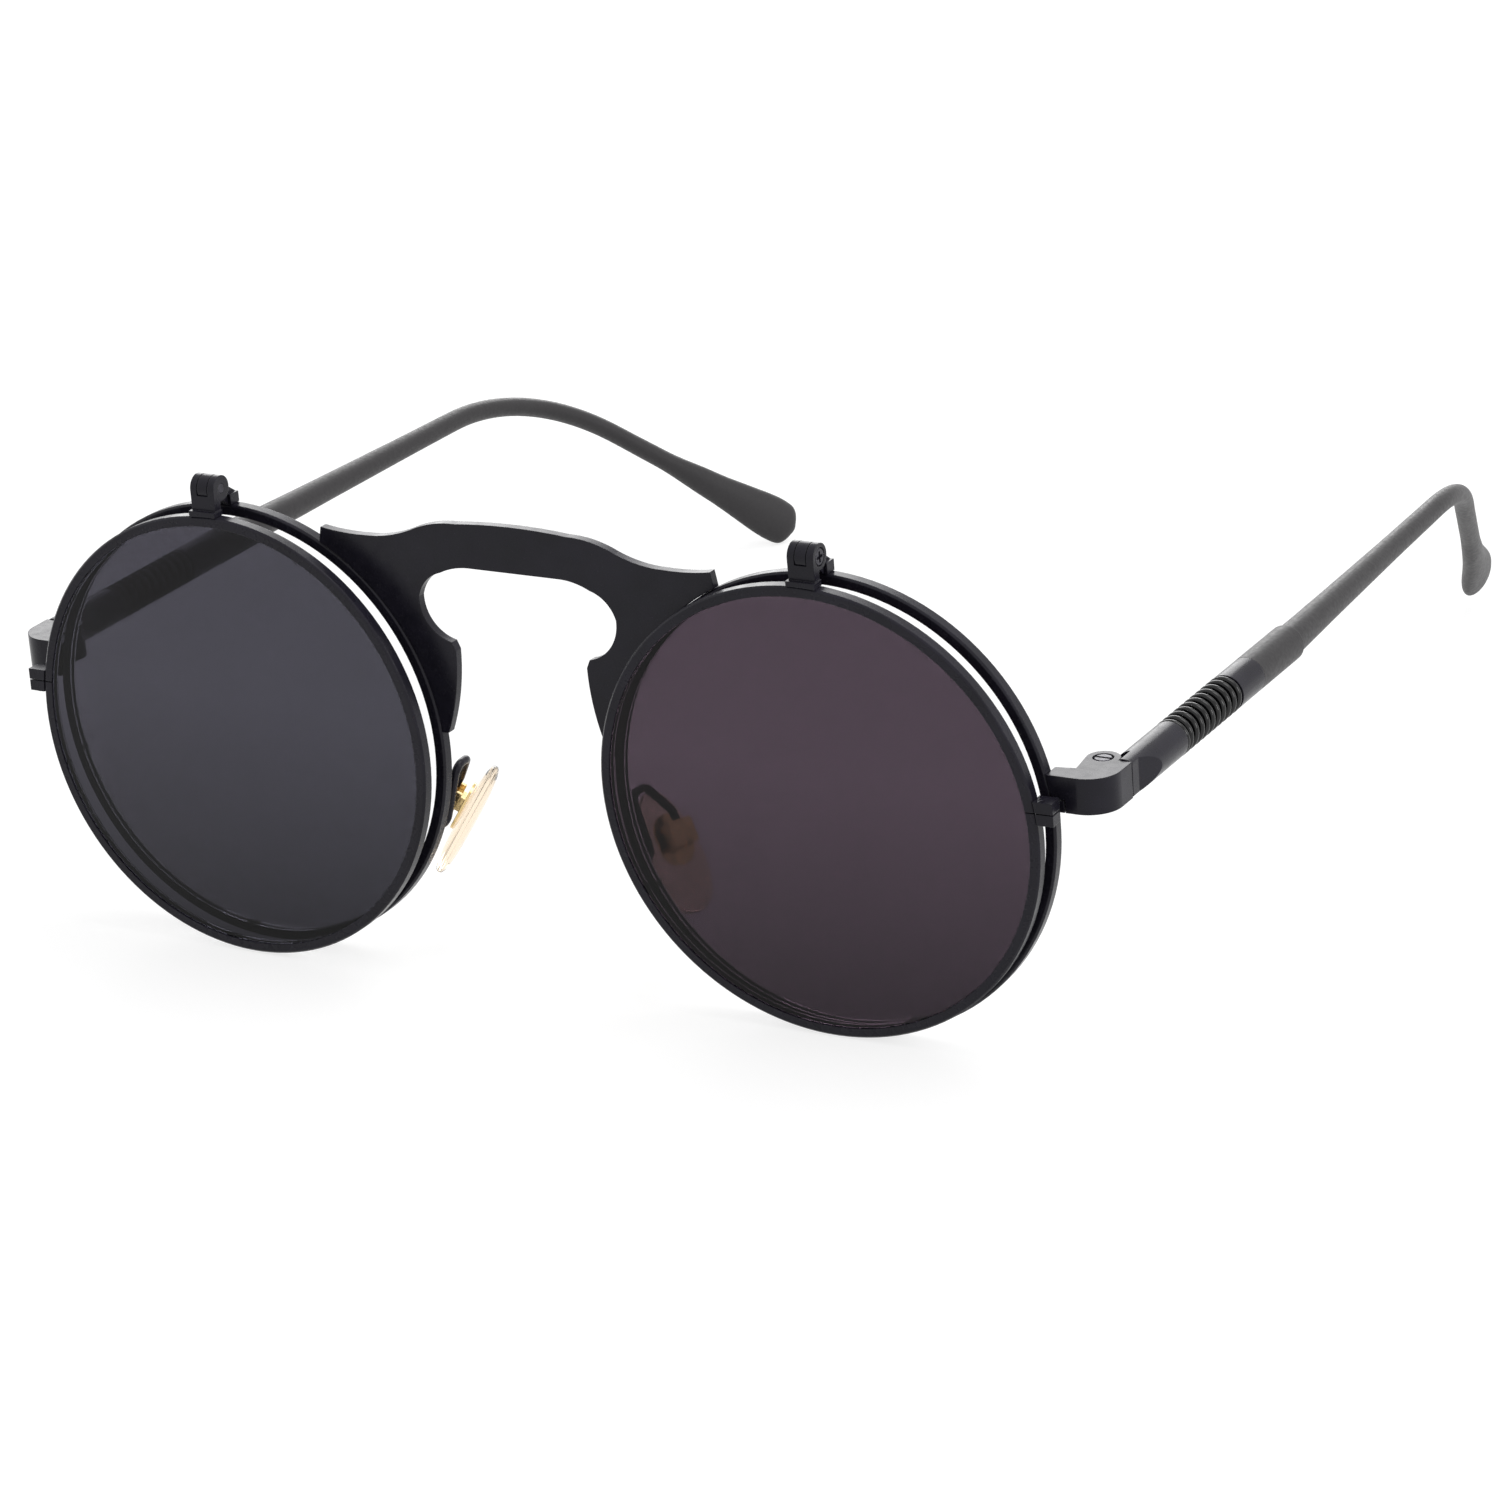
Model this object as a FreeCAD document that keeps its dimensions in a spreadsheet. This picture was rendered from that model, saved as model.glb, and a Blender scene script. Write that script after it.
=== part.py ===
import FreeCAD, Part
import Sketcher
import math
import os

# Round flip-up sunglasses, in millimetres. X runs to the wearer's left, Y from front to back, Z up.
# The glasses stand on the fixed rims and the right temple's tip, with the floor at Z zero.
# Most pieces are made on the wearer's left, and the right one is its mirror image.

SIZES = {
    # Fixed rims and clear lenses
    "lens_spacing": 70.0,
    "rim_radius": 24.6,
    "rim_width": 1.1,
    "rim_depth": 1.5,
    "rim_edge": 0.2,
    "groove_depth": 0.5,
    "groove_width": 0.9,
    "lens_thickness": 1.4,
    "lens_crown": 0.5,
    "lens_clearance": 0.05,
    "split_gap": 0.12,
    # Flip-up rims and tinted lenses
    "flip_inset": 0.15,
    "flip_width": 1.05,
    "flip_depth": 1.5,
    "flip_gap": 2.45,
    "flip_shift": 0.3,
    "tint_thickness": 1.2,
    "flip_split_height": 3.35,
    "flip_lock_height": 2.45,
    "flip_lock_reach": 1.7,
    "flip_lock_depth": 1.7,
    "flip_lock_screw_radius": 0.3,
    "flip_lock_screw_head": 0.42,
    # Flip hinge above each lens
    "flip_axis_rise": 2.72,
    "flip_axis_depth": 1.85,
    "flip_hinge_shift": 0.33,
    "flip_barrel_radius": 1.4,
    "flip_barrel_width": 2.9,
    "flip_leaf_width": 1.2,
    "flip_leaf_base_width": 2.0,
    "flip_leaf_base_rise": 1.15,
    "flip_pin_radius": 0.5,
    "flip_head_radius": 0.9,
    "flip_head_depth": 0.4,
    "recess_width": 0.32,
    "recess_depth": 0.25,
    # Bridge plate
    "bridge_thickness": 1.0,
    "bridge_lead": 0.25,
    "bridge_crown_rise": 0.84,
    "bridge_crown_bow": 0.32,
    "bridge_arch_depth": 4.64,
    "bridge_corner_rise": 1.69,
    "bridge_wing_width": 4.9,
    "bridge_foot_width": 0.85,
    # End pieces and temple hinges
    "end_height": 3.75,
    "end_centre_rise": 4.4,
    "end_thickness": 2.35,
    "end_setback": 0.4,
    "hinge_reach": 2.6,
    "hinge_setback": 6.4,
    "knuckle_radius": 1.75,
    "tongue_thickness": 1.3,
    "end_outer_reach": 3.15,
    "end_corner_radius": 3.3,
    "seam_gap": 0.12,
    "temple_screw_radius": 0.65,
    "temple_screw_head": 0.95,
    "temple_screw_head_depth": 0.5,
    "rim_lock_height": 1.2,
    "rim_lock_reach": 1.1,
    "rim_lock_screw_radius": 0.25,
    "rim_lock_screw_head": 0.42,
    # Temples
    "rod_reach": 2.2,
    "rod_radius": 2.0,
    "rod_length": 10.75,
    "rod_flat_length": 1.4,
    "rod_facet_length": 3.2,
    "core_radius": 1.15,
    "core_socket": 4.0,
    "core_tail": 7.0,
    "spring_length": 13.6,
    "spring_wire": 0.72,
    "spring_outer_radius": 2.05,
    "spring_end_bend": 0.8,
    "spring_notch_clearance": 0.06,
    "sleeve_length": 5.4,
    "tip_collar_length": 10.6,
    "tip_step": 0.3,
    "blade_inset": 1.85,
    "left_blade_length": 53.0,
    "left_bend_radius": 25.0,
    "left_tip_length": 38.1,
    "left_tip_inset": 13.3,
    "left_tip_lift": 1.91,
    "right_blade_length": 55.05,
    "right_bend_radius": 37.9,
    "right_tip_length": 32.13,
    "right_tip_inset": 18.6,
    "blade_radius": 1.135,
    "tip_height": 5.6,
    "tip_thickness": 2.72,
    # Nose pads and their arms
    "pad_offset": 2.34,
    "pad_setback": 6.24,
    "pad_length": 13.5,
    "pad_width": 7.2,
    "pad_thickness": 1.9,
    "pad_plate_length": 5.6,
    "pad_plate_width": 4.2,
    "pad_plate_thickness": 0.3,
    "pad_stem_length": 1.6,
    "pad_stem_width": 1.9,
    "pad_stem_reach": 1.05,
    "pad_box_length": 2.7,
    "pad_box_wall": 0.5,
    "pad_box_gap": 0.5,
    "pad_box_depth": 1.0,
    "pad_box_rise": 1.4,
    "pad_screw_radius": 0.3,
    "pad_arm_radius": 0.45,
    "pad_arm_bend": 0.7,
    "pad_arm_setback": 0.75,
    "pad_arm_rise": 6.4,
    "pad_arm_loop": 2.4,
    "pad_arm_inset": 1.85,
    # Fits and cuts
    "solder_gap": 0.02,
    "running_clearance": 0.03,
    "side_clearance": 0.06,
    "cut_overrun": 2.0,
}

# Angles in degrees
BRIDGE_CORNER_ANGLE = 63.2
BRIDGE_RIM_TOP_ANGLE = 62.1
BRIDGE_DIP_ANGLE = 53.3
BRIDGE_NECK_ANGLE = 36.3
BRIDGE_NECK_LOW_ANGLE = 30.2
BRIDGE_SHOULDER_ANGLE = 24.9
BRIDGE_SHOULDER_LOW_ANGLE = 23.0
BRIDGE_WING_ANGLE = 14.7
BRIDGE_FOOT_ANGLE = 5.2
PAD_ARM_FOOT_ANGLE = 21.8
# Each lens follows the face a little, with its outer side further back
LENS_WRAP = 1.04
# How far each flip-up lens rests from upright, with its foot towards the fixed rim
FLIP_LEANS = {"left": 2.37, "right": -0.5}
# How far the top of each temple's flat tip leans outward
TIP_TWISTS = {"left": 26.5, "right": 7.5}

doc = FreeCAD.newDocument("flip_up_sunglasses")
sheet = doc.addObject("Spreadsheet::Sheet", "sizes")


class Size:
    """A length worked out from the sheet, as a number and as the expression that binds it."""

    def __init__(self, value, text):
        self.value = value
        self.text = text

    def joined(self, other, sign, value):
        return Size(value, f"({self.text} {sign} {other.text})")

    def __add__(self, other):
        other = plain(other)
        return self.joined(other, "+", self.value + other.value)

    def __sub__(self, other):
        other = plain(other)
        return self.joined(other, "-", self.value - other.value)

    def __mul__(self, factor):
        return Size(self.value * factor, f"({self.text} * {factor!r})")

    def __truediv__(self, divisor):
        return Size(self.value / divisor, f"({self.text} / {divisor!r})")

    def __neg__(self):
        return Size(-self.value, f"(0 - {self.text})")

    __rmul__ = __mul__


ZERO = Size(0.0, "0")


def plain(size):
    return size if isinstance(size, Size) else ZERO


class Sizes:
    """The named sizes of the sheet."""

    def __getattr__(self, alias):
        return Size(SIZES[alias], f"sizes.{alias}")


for row, (alias, value) in enumerate(SIZES.items(), start=1):
    sheet.set(f"A{row}", alias)
    sheet.set(f"B{row}", repr(value))
    sheet.setAlias(f"B{row}", alias)
doc.recompute()
s = Sizes()

# Places that several pieces share, measured from the lens centres and the front of the flip-up rims
lens_x = s.lens_spacing / 2
gap_half = lens_x - s.rim_radius
flip_radius = s.rim_radius - s.flip_inset
flip_middle = s.flip_depth / 2
rim_front = s.flip_depth + s.flip_gap
rim_middle = rim_front + s.rim_depth / 2
rim_back = rim_front + s.rim_depth
flip_axis_z = flip_radius + s.flip_axis_rise
flip_axis_x = lens_x + s.flip_hinge_shift
flip_x = lens_x - s.flip_shift
hinge_x = lens_x + s.rim_radius + s.hinge_reach
hinge_y = rim_front + s.hinge_setback
end_outer_x = hinge_x + s.end_outer_reach
end_front = rim_front + s.end_setback
end_root_depth = s.end_thickness * 0.85
lock_y = end_front + end_root_depth / 2
end_low = s.end_centre_rise - s.end_height / 2
end_high = s.end_centre_rise + s.end_height / 2
seam_y = hinge_y - s.knuckle_radius * 0.14
rod_x = hinge_x + s.rod_reach
rod_front = seam_y + s.seam_gap
spring_start = rod_front + s.rod_length
spring_end = spring_start + s.spring_length
tip_start = spring_end + s.sleeve_length
tip_step_y = tip_start + s.tip_collar_length
bend_x = rod_x - s.blade_inset
left_tip_y = tip_step_y + s.left_blade_length + s.left_tip_length

# The tip's rounded end reaches past the end of its centre line, and hangs below it, by these shares
TIP_OVERHANG_SHARE = 0.0763
TIP_DROP_SHARE = 0.249
lens_front = flip_middle - s.tint_thickness / 2 - s.lens_crown
tip_back = left_tip_y + s.tip_height * TIP_OVERHANG_SHARE
shift_y = -(lens_front + tip_back) / 2
shift_z = s.rim_radius


def vector(x, y, z=ZERO):
    return FreeCAD.Vector(x.value, y.value, z.value)


def spot(x, y, z):
    """A point of the glasses, moved so that the origin is on the floor under their middle."""
    return FreeCAD.Vector(x.value, (y + shift_y).value, (z + shift_z).value)


def bind(thing, **sizes):
    for name, size in sizes.items():
        thing.setExpression(name, size.text)


def put(thing, x, y, z, rotation=FreeCAD.Rotation()):
    """Place a thing by its origin, with the place bound to the sheet."""
    thing.Placement = FreeCAD.Placement(spot(x, y, z), rotation)
    for axis, size in zip("xyz", (x, y + shift_y, z + shift_z)):
        thing.setExpression(f"Placement.Base.{axis}", size.text)
    return thing


TO_X = FreeCAD.Rotation(FreeCAD.Vector(0, 1, 0), 90)
TO_Y = FreeCAD.Rotation(FreeCAD.Vector(1, 0, 0), -90)
TO_Z = FreeCAD.Rotation()


def cylinder(name, radius, length, x, y, z, rotation):
    piece = doc.addObject("Part::Cylinder", name)
    bind(piece, Radius=radius, Height=length)
    return put(piece, x, y, z, rotation)


def block(name, x, y, z):
    """A box between two places along each axis."""
    piece = doc.addObject("Part::Box", name)
    bind(piece, Length=x[1] - x[0], Width=y[1] - y[0], Height=z[1] - z[0])
    return put(piece, x[0], y[0], z[0])


def fuse(name, *pieces):
    piece = doc.addObject("Part::MultiFuse", name)
    piece.Shapes = list(pieces)
    return piece


def cut(name, base, *tools):
    piece = doc.addObject("Part::Cut", name)
    piece.Base = base
    piece.Tool = tools[0] if len(tools) == 1 else fuse(f"{name}_tools", *tools)
    return piece


def plane_of(body, role):
    return next(plane for plane in body.Origin.OriginFeatures if plane.Role == role)


def fix(sketch, geometry, position, place):
    """Hold a point of a sketch at a place that the sheet gives."""
    for kind, axis, size in zip(("DistanceX", "DistanceY"), (-2, -1), place):
        if size is ZERO:
            sketch.addConstraint(Sketcher.Constraint("PointOnObject", geometry, position, axis))
            continue
        index = sketch.addConstraint(Sketcher.Constraint(kind, -1, 1, geometry, position, size.value))
        sketch.setExpression(f"Constraints[{index}]", size.text)


def outline(body, role, corners):
    """A closed sketch. A corner is a place, and a second place bows its side into an arc."""
    sketch = body.newObject("Sketcher::SketchObject", f"{body.Name}_outline")
    sketch.AttachmentSupport = [(plane_of(body, role), "")]
    sketch.MapMode = "FlatFace"
    sides = []
    for corner, following in zip(corners, corners[1:] + corners[:1]):
        start = vector(*corner[:2])
        finish = vector(*following[:2])
        if len(corner) == 2:
            sides.append((sketch.addGeometry(Part.LineSegment(start, finish), False), 1, 2))
            continue
        middle = vector(*corner[2:])
        leftward = (middle - start).cross(finish - middle).z > 0
        ends = (start, finish) if leftward else (finish, start)
        arc = sketch.addGeometry(Part.Arc(ends[0], middle, ends[1]), False)
        sides.append((arc, 1, 2) if leftward else (arc, 2, 1))
        bow = sketch.addGeometry(Part.Point(middle), True)
        fix(sketch, bow, 1, corner[2:])
        sketch.addConstraint(Sketcher.Constraint("PointOnObject", bow, 1, arc))
    for side, following, corner in zip(sides, sides[1:] + sides[:1], corners[1:] + corners[:1]):
        joint = Sketcher.Constraint("Coincident", side[0], side[2], following[0], following[1])
        sketch.addConstraint(joint)
        fix(sketch, following[0], following[1], corner[:2])
    return sketch


def turned(name, corners):
    """A body turned about its own Y axis, from an outline of radius and depth."""
    body = doc.addObject("PartDesign::Body", name)
    sketch = outline(body, "XY_Plane", corners)
    turn = body.newObject("PartDesign::Revolution", f"{name}_turn")
    turn.Profile = sketch
    turn.ReferenceAxis = (sketch, ["V_Axis"])
    turn.Angle = 360.0
    sketch.Visibility = False
    return body


def pressed(name, role, corners, thickness, backward=False):
    """A body raised from a flat outline."""
    body = doc.addObject("PartDesign::Body", name)
    sketch = outline(body, role, corners)
    pad = body.newObject("PartDesign::Pad", f"{name}_pad")
    pad.Profile = sketch
    pad.Reversed = backward
    bind(pad, Length=thickness)
    return body


def rim_profile(radius, width, depth):
    """A rim's section from its front face, with chamfered edges and a groove for the lens."""
    inner = radius - width
    middle = depth / 2
    half_groove = s.groove_width / 2
    return [
        (inner, ZERO),
        (radius - s.rim_edge, ZERO),
        (radius, s.rim_edge),
        (radius, depth - s.rim_edge),
        (radius - s.rim_edge, depth),
        (inner, depth),
        (inner, middle + half_groove),
        (inner + s.groove_depth, middle),
        (inner, middle - half_groove),
    ]


def lens_profile(radius, width, depth, thickness):
    """A lens's section, crowned to the front, with an edge that seats in the rim's groove."""
    body_radius = radius - width - s.lens_clearance
    middle = depth / 2
    front = middle - thickness / 2
    back = middle + thickness / 2
    half_bevel = s.groove_width / 2 - s.lens_clearance
    bow = s.lens_crown * 0.75
    return [
        (ZERO, front - s.lens_crown, body_radius / 2, front - bow),
        (body_radius, front),
        (body_radius, middle - half_bevel),
        (body_radius + s.groove_depth - s.lens_clearance, middle),
        (body_radius, middle + half_bevel),
        (body_radius, back, body_radius / 2, back - bow),
        (ZERO, back - s.lens_crown),
    ]


def rims_and_lenses():
    fixed = turned("rim_ring", rim_profile(s.rim_radius, s.rim_width, s.rim_depth))
    put(fixed, lens_x, rim_front, ZERO)
    split = block(
        "rim_split",
        (lens_x + s.rim_radius - s.rim_width * 2, lens_x + s.rim_radius + s.cut_overrun),
        (rim_front - s.cut_overrun, rim_back + s.cut_overrun),
        (lock_high, lock_high + s.split_gap),
    )
    clear_profile = lens_profile(s.rim_radius, s.rim_width, s.rim_depth, s.lens_thickness)
    clear = turned("wrapped_clear_lens", clear_profile)
    put(clear, lens_x, rim_front, ZERO)
    flip = turned("flip_ring", rim_profile(flip_radius, s.flip_width, s.flip_depth))
    put(flip, flip_x, ZERO, ZERO)
    flip_split = block(
        "flip_split",
        (flip_x + flip_radius - s.flip_width * 2, flip_x + flip_radius + s.cut_overrun),
        (-s.cut_overrun, s.flip_depth + s.cut_overrun),
        (s.flip_split_height - s.split_gap / 2, s.flip_split_height + s.split_gap / 2),
    )
    tint_profile = lens_profile(flip_radius, s.flip_width, s.flip_depth, s.tint_thickness)
    tint = turned("flat_tinted_lens", tint_profile)
    put(tint, flip_x, ZERO, ZERO)
    return [cut("wrapped_rim", fixed, split), clear, cut("flat_flip_rim", flip, flip_split), tint]


def from_lens(radius, angle):
    """A place on the nasal side of the left lens, by its distance from the lens centre and its angle."""
    turn = math.radians(angle)
    return lens_x - radius * math.cos(turn), radius * math.sin(turn)


def bridge():
    rim = s.rim_radius + s.solder_gap * 2
    crown_z = s.rim_radius + s.bridge_crown_rise
    arch_z = crown_z - s.bridge_arch_depth
    crown = (gap_half * 0.635, crown_z)
    arch = (gap_half * 0.53, arch_z)
    dip = from_lens(s.rim_radius + s.bridge_corner_rise * 2.5, BRIDGE_DIP_ANGLE)
    corner = from_lens(s.rim_radius + s.bridge_corner_rise, BRIDGE_CORNER_ANGLE)
    neck = from_lens(s.rim_radius + s.bridge_wing_width * 0.865, BRIDGE_NECK_ANGLE)
    low_neck = from_lens(s.rim_radius + s.bridge_wing_width * 0.685, BRIDGE_NECK_LOW_ANGLE)
    shoulder = from_lens(s.rim_radius + s.bridge_wing_width, BRIDGE_SHOULDER_ANGLE)
    low_shoulder = from_lens(s.rim_radius + s.bridge_wing_width, BRIDGE_SHOULDER_LOW_ANGLE)
    wing = from_lens(s.rim_radius + s.bridge_wing_width * 0.615, BRIDGE_WING_ANGLE)
    foot = from_lens(s.rim_radius + s.bridge_foot_width, BRIDGE_FOOT_ANGLE)

    def between(start, finish, along_share, up_share):
        return (
            start[0] + (finish[0] - start[0]) * along_share,
            start[1] + (finish[1] - start[1]) * up_share,
        )

    slope = between(crown, dip, 0.5, 0.53)
    half = [
        crown + between(crown, dip, 0.27, 0.14),
        slope + between(crown, dip, 0.74, 0.88),
        dip + between(dip, corner, 0.5, 0.1),
        corner,
        from_lens(rim, BRIDGE_RIM_TOP_ANGLE) + from_lens(rim, BRIDGE_NECK_ANGLE),
        from_lens(rim, BRIDGE_FOOT_ANGLE),
        foot + wing,
        low_shoulder,
        shoulder + low_neck,
        neck + between(neck, arch, 0.145, 0.45),
        between(neck, arch, 0.457, 0.772) + between(neck, arch, 0.712, 0.933),
        arch,
    ]
    corners = list(half)
    for index in range(len(half) - 1, -1, -1):
        x, z = half[index][:2]
        bow = half[index - 1][2:] if index else (ZERO, crown_z + s.bridge_crown_bow)
        corners.append((-x, z) + ((-bow[0] if index else ZERO, bow[1]) if bow else ()))
    plate = pressed("bridge", "XZ_Plane", corners, s.bridge_thickness, True)
    return put(plate, ZERO, rim_front - s.bridge_lead, ZERO)


def end_piece():
    """The curved lug from the rim to the temple hinge, with a slot for the temple's tongue."""
    front = end_front
    back = end_front + s.end_thickness
    outer = end_outer_x
    bend = s.end_corner_radius
    corner_share = 1 - math.sqrt(0.5)
    knuckle = s.knuckle_radius
    root = lens_x + s.rim_radius * 0.92
    corners = [
        (root, front),
        (outer - bend, front, outer - bend * corner_share, front + bend * corner_share),
        (outer, front + bend),
        (outer, seam_y),
        (hinge_x + knuckle, seam_y),
        (hinge_x + knuckle, hinge_y, hinge_x, hinge_y + knuckle),
        (hinge_x - knuckle, hinge_y),
        (hinge_x - knuckle * 0.75, back + s.end_thickness * 0.1),
        (root, front + end_root_depth),
    ]
    lug = put(pressed("end_lug", "XY_Plane", corners, s.end_height), ZERO, ZERO, end_low)
    half_slot = s.tongue_thickness / 2 + s.side_clearance
    slot_radius = knuckle + s.seam_gap
    slot = cylinder(
        "end_slot", slot_radius, half_slot * 2, hinge_x, hinge_y, s.end_centre_rise - half_slot, TO_Z
    )
    bore = cylinder(
        "end_bore", s.temple_screw_radius + s.running_clearance, s.end_height + s.cut_overrun * 2,
        hinge_x, hinge_y, end_low - s.cut_overrun, TO_Z,
    )
    seat = cylinder(
        "end_seat", s.temple_screw_head + s.side_clearance * 2, s.temple_screw_head_depth + s.cut_overrun,
        hinge_x, hinge_y, end_high - s.temple_screw_head_depth, TO_Z,
    )
    rim = cylinder(
        "end_rim", s.rim_radius + s.solder_gap, s.end_thickness + s.cut_overrun * 2,
        lens_x, rim_front - s.cut_overrun, ZERO, TO_Y,
    )
    lock_bore = cylinder(
        "end_lock_bore", s.rim_lock_screw_radius + s.solder_gap, s.end_height * 0.8,
        lock_screw_x, lock_y, end_low, TO_Z,
    )
    lock_notch = block(
        "end_lock_notch", (root, lens_x + s.rim_radius + s.rim_lock_reach + s.split_gap),
        (rim_front - s.cut_overrun, back + s.cut_overrun),
        (end_low - s.cut_overrun, lock_high + s.split_gap),
    )
    return cut("left_end_piece", lug, slot, bore, seat, rim, lock_bore, lock_notch)


lock_screw_x = lens_x + s.rim_radius + s.rim_lock_reach * 0.55
lock_high = end_low + s.rim_lock_height


def screw(name, radius, length, head_radius, head_depth):
    """A screw along its own Y axis, head first, with a chamfered head."""
    edge = head_depth * 0.25
    return turned(name, [
        (ZERO, ZERO),
        (head_radius - edge, ZERO),
        (head_radius, edge),
        (head_radius, head_depth),
        (radius, head_depth),
        (radius, length),
        (ZERO, length),
    ])


def temple_screw():
    shank = screw(
        "temple_screw_blank", s.temple_screw_radius, s.end_height,
        s.temple_screw_head, s.temple_screw_head_depth - s.running_clearance,
    )
    downward = FreeCAD.Rotation(FreeCAD.Vector(1, 0, 0), -90)
    put(shank, hinge_x, hinge_y, end_high, downward)
    slot = block(
        "temple_screw_slot",
        (hinge_x - s.temple_screw_head * 2, hinge_x + s.temple_screw_head * 2),
        (hinge_y - s.recess_width / 2, hinge_y + s.recess_width / 2),
        (end_high - s.recess_depth * 1.4, end_high + s.cut_overrun),
    )
    return cut("left_temple_screw", shank, slot)


def rim_lock():
    """The lower half of the fixed rim's lock, set into the end piece and held by a screw from below."""
    lug = block(
        "rim_lock_blank",
        (lens_x + s.rim_radius * 0.95, lens_x + s.rim_radius + s.rim_lock_reach),
        (end_front, end_front + end_root_depth),
        (end_low, lock_high),
    )
    rim = cylinder(
        "rim_lock_rim", s.rim_radius + s.solder_gap, s.end_thickness + s.cut_overrun * 2,
        lens_x, rim_front - s.cut_overrun, ZERO, TO_Y,
    )
    bore = cylinder(
        "rim_lock_bore", s.rim_lock_screw_radius + s.solder_gap, s.rim_lock_height + s.cut_overrun * 2,
        lock_screw_x, lock_y, end_low - s.cut_overrun, TO_Z,
    )
    head_depth = s.rim_lock_screw_head * 0.6
    seat = cylinder(
        "rim_lock_seat", s.rim_lock_screw_head + s.solder_gap, head_depth + s.solder_gap + s.cut_overrun,
        lock_screw_x, lock_y, end_low - s.cut_overrun, TO_Z,
    )
    pin = screw(
        "left_rim_lock_screw", s.rim_lock_screw_radius, s.end_height * 0.7,
        s.rim_lock_screw_head, head_depth,
    )
    put(pin, lock_screw_x, lock_y, end_low, FreeCAD.Rotation(FreeCAD.Vector(1, 0, 0), 90))
    return [cut("left_rim_lock", lug, rim, bore, seat), pin]


def flip_lock():
    """The two halves of the flip-up rim's lock and the screw that draws them together."""
    inner = flip_x + flip_radius * 0.95
    outer = flip_x + flip_radius + s.flip_lock_reach
    split_low = s.flip_split_height - s.split_gap / 2
    split_high = s.flip_split_height + s.split_gap / 2
    low = s.flip_split_height - s.flip_lock_height / 2
    high = s.flip_split_height + s.flip_lock_height / 2
    screw_x = outer - s.flip_lock_reach * 0.42
    screw_y = s.flip_lock_depth / 2
    head_depth = s.flip_lock_screw_head * 0.6
    bore_radius = s.flip_lock_screw_radius + s.solder_gap
    halves = []
    for half, (bottom, top) in (("lower", (low, split_low)), ("upper", (split_high, high))):
        lug = block(f"flip_lock_{half}_blank", (inner, outer), (ZERO, s.flip_lock_depth), (bottom, top))
        rim = cylinder(
            f"flip_lock_{half}_rim", flip_radius + s.solder_gap, s.flip_lock_depth + s.cut_overrun * 2,
            flip_x, -s.cut_overrun, ZERO, TO_Y,
        )
        bore = cylinder(
            f"flip_lock_{half}_bore", bore_radius, s.flip_lock_height,
            screw_x, screw_y, low - s.flip_lock_height * 0.2, TO_Z,
        )
        halves.append(cut(f"flat_flip_lock_{half}", lug, rim, bore))
    pin = screw(
        "flat_flip_lock_screw", s.flip_lock_screw_radius, head_depth + s.flip_lock_height * 0.75,
        s.flip_lock_screw_head, head_depth,
    )
    put(pin, screw_x, screw_y, low - head_depth, FreeCAD.Rotation(FreeCAD.Vector(1, 0, 0), 90))
    return halves + [pin]


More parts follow.
